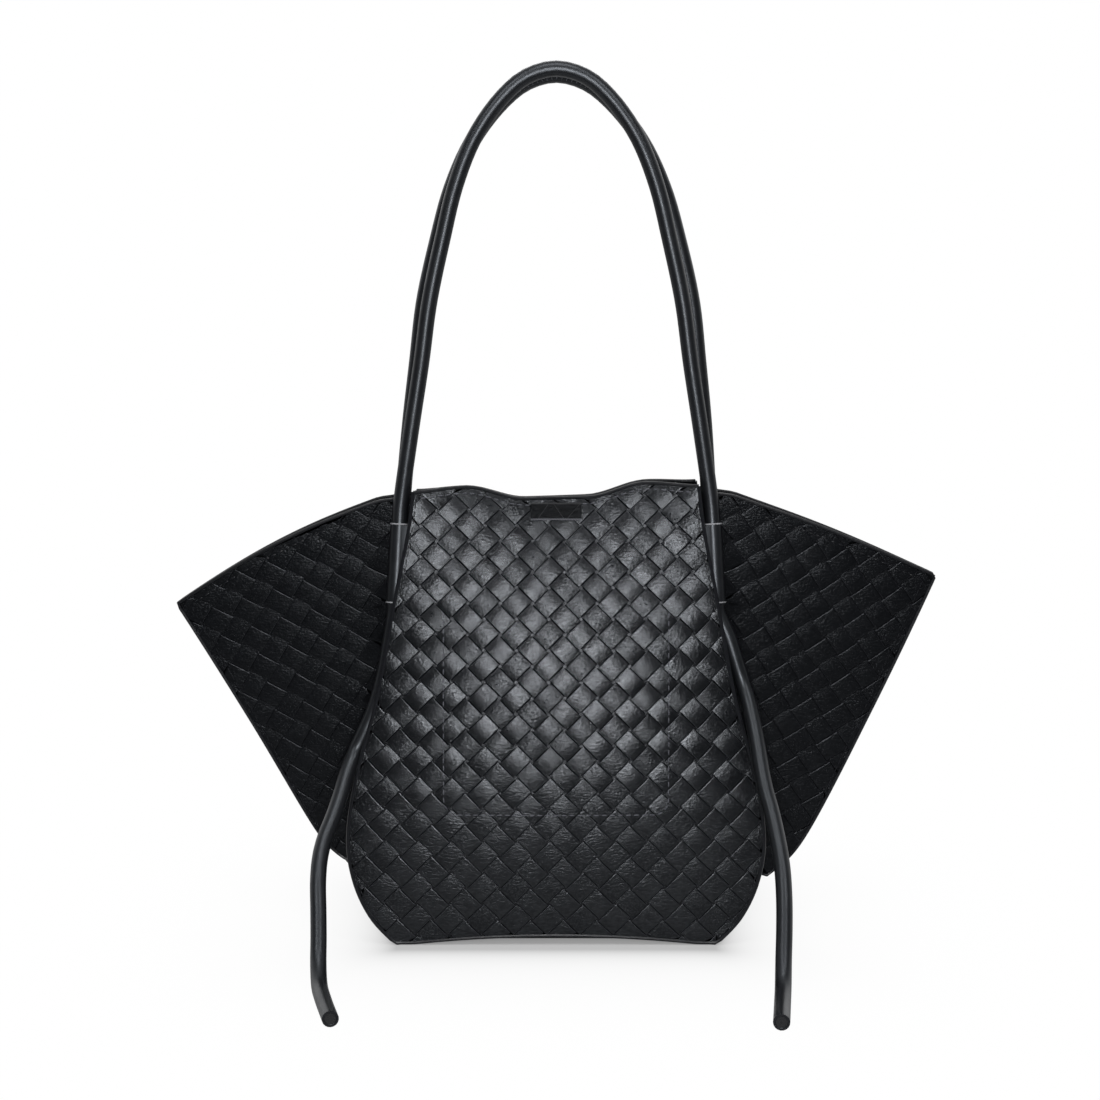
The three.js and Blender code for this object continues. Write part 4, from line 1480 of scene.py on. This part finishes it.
class TOTE_OT_panels(bpy.types.Operator):
    """Weaves the front and rear panels and sews their edges."""

    bl_idname = "tote.panels"
    bl_label = "Woven panels"

    def execute(self, context):
        sizes, colours = context.scene.tote_sizes, context.scene.tote_colours
        materials = [woven_leather(colours), edge_paint(colours), sewing_thread(colours)]
        for node, rear, seed in (("front_panel", False, 7), ("rear_panel", True, 8)):
            bm = new_leather()

            def backing(side, v):
                return panel_layer(side, v, behind=BACKING_IN, rear=rear)

            def spot(s, t):
                return panel_spot(s, t, rear)

            # The backing is darkened with painted shade where it shows between the strips
            bent_sheet(bm, 40, 56, backing, PANEL_T - BACKING_LESS, cut_and_shade=BACKING_PAINTED_SHADE)
            weave = Weave(spot, panel_flat(*PANEL_WEAVE), 0.0, sizes, eased=PANEL_EASE)
            weave.lay(bm, PANEL_AREA, seed)
            self.edges(bm, sizes, rear)
            self.sewing(bm, sizes, weave, rear)
            piece = finish_piece(bm, "woven_" + node, materials, (1, -1 if rear else 1))
            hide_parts(node)
            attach(piece, "bag")
        return {"FINISHED"}

    def edges(self, bm, sizes, rear):
        """Painted edges: round the foot and sides, and along the waved top."""
        radius = sizes.edge_radius / MM
        middle = PANEL_T / 2
        right, left = ([panel_layer(x, k / 80, behind=middle, rear=rear) for k in range(81)] for x in (1, -1))
        foot = [panel_layer(1 - k / 20, 0, behind=middle) for k in range(1, 40)]
        rim = [Vector((p.x, p.y, max(p.z, radius + 0.1))) for p in right[::-1] + foot + left]
        top = [panel_layer(k / 30 - 1, 1, behind=middle, rear=rear) for k in range(61)]
        for line in (rim, top):
            sweep(bm, spaced(line, EDGE_STEP), radius, 8, material=1)

    def sewing(self, bm, sizes, weave, rear):
        """Rows of stitches along the top, both sides and, in front, the pocket; then the magnet's patch."""
        top = HEIGHT - TOP_ROW
        rows = [(2, [(x, top + top_wave(x / half_width(HEIGHT), rear)) for x in range(-81, 82, 3)])]
        for side in (-1, 1):
            rows.append((1, [(side * (half_width(z) - SIDE_ROW), z) for z in range(13, 268, 4)]))
        if not rear:
            rows.append((2, self.pocket_row()))
        for thread, row in rows:
            tops = [weave.top(*panel_flat(x, z)) for x, z in row]
            line, outs = zip(*tops)
            stitch_row(bm, line, outs, sizes, thread, seat=STITCH_OUT)
        self.magnet_patch(bm, REAR_DROP if rear else 0.0)

    def magnet_patch(self, bm, drop):
        """The leather pressed over the magnet: a patch that leans out, dark with painted shade, crossed by
        strips' edges.
        """
        low, high = PATCH_LOW - drop, PATCH_HIGH - drop

        def patch(side, v):
            x, z = PATCH_MIDDLE + side * PATCH_HALF, low + (high - low) * v
            return panel_point(x, z) + normal_at(panel_point, x, z) * (PATCH_OUT + PATCH_LEAN * v)

        # The patch's darkness and lack of sheen are painted shade
        bent_sheet(bm, 14, 6, patch, PATCH_T, cut_and_shade=PATCH_PAINTED_SHADE)
        for v, radius, finish in ((0.0, 0.5, 2), (1.0, 0.45, 1)):
            sweep(bm, [patch(k / 10 - 1, v) for k in range(21)], radius, 6, material=finish)
        for upper, lower in PATCH_STRIPS:
            edge = [patch(lower + (upper - lower) * k / 6, k / 6) for k in range(7)]
            sweep(bm, edge, STRIP_EDGE_R, 6, material=1)

    def pocket_row(self):
        """The pocket's sewing line, down one side, round the lower corners and up the other."""
        half, low, top, corner = POCKET_HALF, POCKET_LOW, POCKET_TOP, POCKET_CORNER
        down = [(-half, top - k * (top - low - corner) / 30) for k in range(31)]
        turn = [math.radians(a) for a in range(180, 271, 15)]
        down += [(-half + corner + corner * math.cos(a), low + corner + corner * math.sin(a)) for a in turn]
        along = [(x, low) for x in range(-int(half - corner), int(half - corner) + 1, 4)]
        return down + along + [(-x, z) for x, z in reversed(down)]


class TOTE_OT_sides(bpy.types.Operator):
    """Weaves the four side plies, each a gusset that runs on into a folded-out wing."""

    bl_idname = "tote.sides"
    bl_label = "Gussets and wings"

    def execute(self, context):
        sizes, colours = context.scene.tote_sizes, context.scene.tote_colours
        # The sides' leather is the panels' leather with less shine, as painted shade
        woven = woven_leather(colours, "woven_gusset_leather_shaded", SIDE_SHADED_SHINE)
        materials = [woven, edge_paint(colours)]
        crease = (CREASE_TOP - CREASE_LOW).normalized()
        middle = (CREASE_LOW + CREASE_TOP) / 2
        for side, x in (("right", 1), ("left", -1)):
            for end, y in (("front", 1), ("rear", -1)):
                bm = self.ply(sizes, x, 20 + 2 * x + y)
                piece = finish_piece(bm, f"woven_{side}_side_{end}", materials, (x, y))
                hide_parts(f"{side}_gusset_{end}", f"{side}_wing_{end}")
                hinge = Vector((middle.x * x, 0, middle.z)) * MM
                reach = Vector((crease.z * x, 0, -crease.x)) * (WING_BEND * MM)
                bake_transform(piece, "bag", f"{side}_wing", start=hinge - reach, end=hinge + reach)
        return {"FINISHED"}

    def ply(self, sizes, sag, seed):
        """One ply: backing, woven strips, painted edges and stitches dark with the same paint."""
        bm = new_leather()

        def inner(u, v, depth):
            at, out = ply_face(u, v, sag)
            return at - out * depth

        def backing(side, v):
            return inner(side + 1, v, BACKING_IN)

        def spot(s, t):
            return ply_spot(s, t, sag)

        # The backing is darkened with painted shade where it shows between the strips
        bent_sheet(bm, 28, 40, backing, PLY_T - BACKING_LESS, cut_and_shade=BACKING_PAINTED_SHADE)
        Weave(spot, SIDE_WEAVE, SIDE_TURN, sizes, relief=SIDE_RELIEF).lay(bm, SIDE_AREA, seed)
        middle = PLY_T / 2
        top = [inner(k / 24, 1, middle) for k in range(49)]
        fold = [inner(2, 1 - k / 48, middle) for k in range(1, 49)]
        foot = [inner(2 - k / 12, 0, middle) for k in range(1, 13)]
        sweep(bm, spaced(top + fold + foot, EDGE_STEP), sizes.edge_radius / MM * SIDE_EDGE, 8, material=1)
        top_row = [(0.2 + 1.72 * k / 60, 0.974) for k in range(61)]
        fold_row = [(1.955, 0.97 - k / 50) for k in range(40)]
        for places in (top_row, fold_row):
            line = [inner(u, v, SIDE_ROW_IN) for u, v in places]
            outs = [(inner(u, v, -1.0) - inner(u, v, 0.0)).normalized() for u, v in places]
            stitch_row(bm, line, outs, sizes, 1, seat=STITCH_OUT)
        return bm


class TOTE_OT_base(bpy.types.Operator):
    """Weaves the base strip with its turned-up ends."""

    bl_idname = "tote.base"
    bl_label = "Woven base"

    def execute(self, context):
        sizes, colours = context.scene.tote_sizes, context.scene.tote_colours
        bm = new_leather()

        def backing(side, v):
            u = (1 - side) / 2
            normal = -normal_at(base_point, clamp(u, 0.01, 0.99), clamp(v, 0.02, 0.98), 0.01)
            return base_point(u, v) - normal * BASE_BACKING_IN

        # The backing is darkened with painted shade where it shows between the strips
        bent_sheet(bm, 60, 26, backing, PANEL_T - BASE_BACKING_LESS, cut_and_shade=BACKING_PAINTED_SHADE)
        Weave(base_spot, BASE_WEAVE, 0.0, sizes).lay(bm, BASE_AREA, seed=5)
        piece = finish_piece(bm, "woven_base_panel", [woven_leather(colours)])
        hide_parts("base_panel")
        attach(piece, "bag")
        return {"FINISHED"}


class TOTE_OT_facings(bpy.types.Operator):
    """Lays the leather facings inside the mouth and the covers over the magnets."""

    bl_idname = "tote.facings"
    bl_label = "Facings and magnet covers"

    def execute(self, context):
        sizes, colours = context.scene.tote_sizes, context.scene.tote_colours
        materials = [cord_leather(colours), sewing_thread(colours)]
        low, high = outline_share(HEIGHT - FACING_H), outline_share(HEIGHT - 1)
        for end, y in (("front", 1), ("rear", -1)):
            bm = new_leather()
            rear = y < 0

            def facing(side, v, edge=LAYER_EDGE, behind=LAYER_BEHIND):
                return panel_layer(side, low + (high - low) * v, edge, None, behind, rear)

            def magnet_cover(side, v):
                return self.cover(side, v, rear)

            bent_sheet(bm, 36, 6, facing, FACING_T)
            row = [facing(k / 30 - 1, FACING_ROW, LAYER_EDGE + 2, LAYER_BEHIND + FACING_T) for k in range(61)]
            stitch_row(bm, row, [Vector((0, 1, 0.2))] * len(row), sizes, 1)
            piece = finish_piece(bm, f"leather_{end}_facing", materials, (1, y))
            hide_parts(f"{end}_facing")
            bm = new_leather()
            bent_sheet(bm, 12, 6, magnet_cover, COVER_T)
            cover = finish_piece(bm, f"leather_{end}_magnet_cover", materials, (1, y))
            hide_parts(f"{end}_magnet_cover")
            for made in (piece, cover):
                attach(made, "bag")
        return {"FINISHED"}

    def cover(self, side, v, rear):
        """A magnet cover, pressed down round its edge."""
        low, high = outline_share(MAGNET_LOW - COVER_EDGE), outline_share(MAGNET_TOP + COVER_EDGE)
        edge = max(abs(side), abs(2 * v - 1))
        behind = COVER_BEHIND - COVER_PRESS * smoothstep(0.85, 1.0, edge)
        return panel_layer(side, low + (high - low) * v, 0.0, MAGNET_HALF + COVER_EDGE, behind, rear)


class TOTE_OT_linings(bpy.types.Operator):
    """Hangs the cloth linings, the slip pocket and the base lining."""

    bl_idname = "tote.linings"
    bl_label = "Cloth linings"

    def execute(self, context):
        colours = context.scene.tote_colours
        low, high = outline_share(LINING_LOW), outline_share(HEIGHT - FACING_H - LINING_TUCK)
        for end, y in (("front", 1), ("rear", -1)):
            bm = bmesh.new()
            rear = y < 0

            def lining(side, v):
                return panel_layer(side, low + (high - low) * v, LAYER_EDGE, None, LAYER_BEHIND, rear)

            bent_sheet(bm, 30, 34, lining, LINING_T)
            piece = finish_piece(bm, f"cloth_{end}_lining", [lining_cloth(colours)], (1, y))
            self.lay(piece, f"{end}_lining", (0.218, 0.232), f"woven_{end}_panel", 0.0427)
        bm = bmesh.new()
        bent_sheet(bm, 30, 20, self.pocket, POCKET_T)
        piece = finish_piece(bm, "cloth_slip_pocket", [lining_cloth(colours)])
        self.lay(piece, "slip_pocket", (0.136, 0.123), "cloth_front_lining", 0.0163)
        bm = bmesh.new()
        bent_sheet(bm, 30, 16, self.floor, LINING_T)
        piece = finish_piece(bm, "cloth_base_lining", [lining_cloth(colours)])
        self.lay(piece, "base_lining", (0.1596, 0.0766), "base_board", 0.0121)
        return {"FINISHED"}

    def pocket(self, side, v):
        """The slip pocket, slack towards its mouth."""
        low, high = outline_share(POCKET_LOW), outline_share(POCKET_TOP)
        slack = POCKET_BELLY * math.sin(math.pi * (side + 1) / 2) * v
        return panel_layer(side, low + (high - low) * v, 0.0, POCKET_HALF, POCKET_BEHIND + slack)

    def floor(self, side, v):
        """The base lining, with rounded corners."""
        x, y = side * BOARD.x, (2 * v - 1) * BOARD.y
        start = BOARD - Vector((BOARD_CORNER, BOARD_CORNER))
        over = Vector((max(0.0, abs(x) - start.x), max(0.0, abs(y) - start.y)))
        if over.length > BOARD_CORNER:
            over *= BOARD_CORNER / over.length
            x, y = math.copysign(start.x + over.x, x), math.copysign(start.y + over.y, y)
        return Vector((x, y, BOARD_TOP))

    def lay(self, piece, node, flat, under, area):
        """Hides the frame's part for a sewn-in cloth sheet and hangs the sheet on the bag."""
        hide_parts(node)
        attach(piece, "bag")


class TOTE_OT_stiffeners(bpy.types.Operator):
    """Gives the magnets and the base board their finish."""

    bl_idname = "tote.stiffeners"
    bl_label = "Magnets and base board"

    def execute(self, context):
        colours = context.scene.tote_colours
        plate, board = magnet_plate(colours), fibre_board(colours)
        for node, finish in (("front_magnet", plate), ("rear_magnet", plate), ("base_board", board)):
            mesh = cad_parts[node].data
            mesh.materials.clear()
            mesh.materials.append(finish)
        return {"FINISHED"}


STEPS = [
    TOTE_OT_stage,
    TOTE_OT_tails,
    TOTE_OT_handles,
    TOTE_OT_sleeves,
    TOTE_OT_panels,
    TOTE_OT_sides,
    TOTE_OT_base,
    TOTE_OT_facings,
    TOTE_OT_linings,
    TOTE_OT_stiffeners,
]


class TOTE_PT_panel(bpy.types.Panel):
    """Lists the tote's sizes, colours and pieces."""

    bl_idname = "TOTE_PT_panel"
    bl_label = "Woven Tote"
    bl_space_type = "VIEW_3D"
    bl_region_type = "UI"
    bl_category = "Woven Tote"

    def draw(self, context):
        for group in (context.scene.tote_sizes, context.scene.tote_colours):
            for key in group.bl_rna.properties.keys():
                if key not in ("rna_type", "name"):
                    self.layout.prop(group, key)
        for step in STEPS:
            self.layout.operator(step.bl_idname)


CLASSES = [ToteSizes, ToteColours, *STEPS, TOTE_PT_panel]


def register():
    for item in CLASSES:
        bpy.utils.register_class(item)
    bpy.types.Scene.tote_sizes = bpy.props.PointerProperty(type=ToteSizes)
    bpy.types.Scene.tote_colours = bpy.props.PointerProperty(type=ToteColours)


def unregister():
    del bpy.types.Scene.tote_colours
    del bpy.types.Scene.tote_sizes
    for item in reversed(CLASSES):
        bpy.utils.unregister_class(item)


def main():
    register()
    bpy.ops.tote.stage()
    bpy.ops.tote.tails()
    bpy.ops.tote.handles()
    bpy.ops.tote.sleeves()
    bpy.ops.tote.panels()
    bpy.ops.tote.sides()
    bpy.ops.tote.base()
    bpy.ops.tote.facings()
    bpy.ops.tote.linings()
    bpy.ops.tote.stiffeners()


if __name__ == "__main__":
    main()
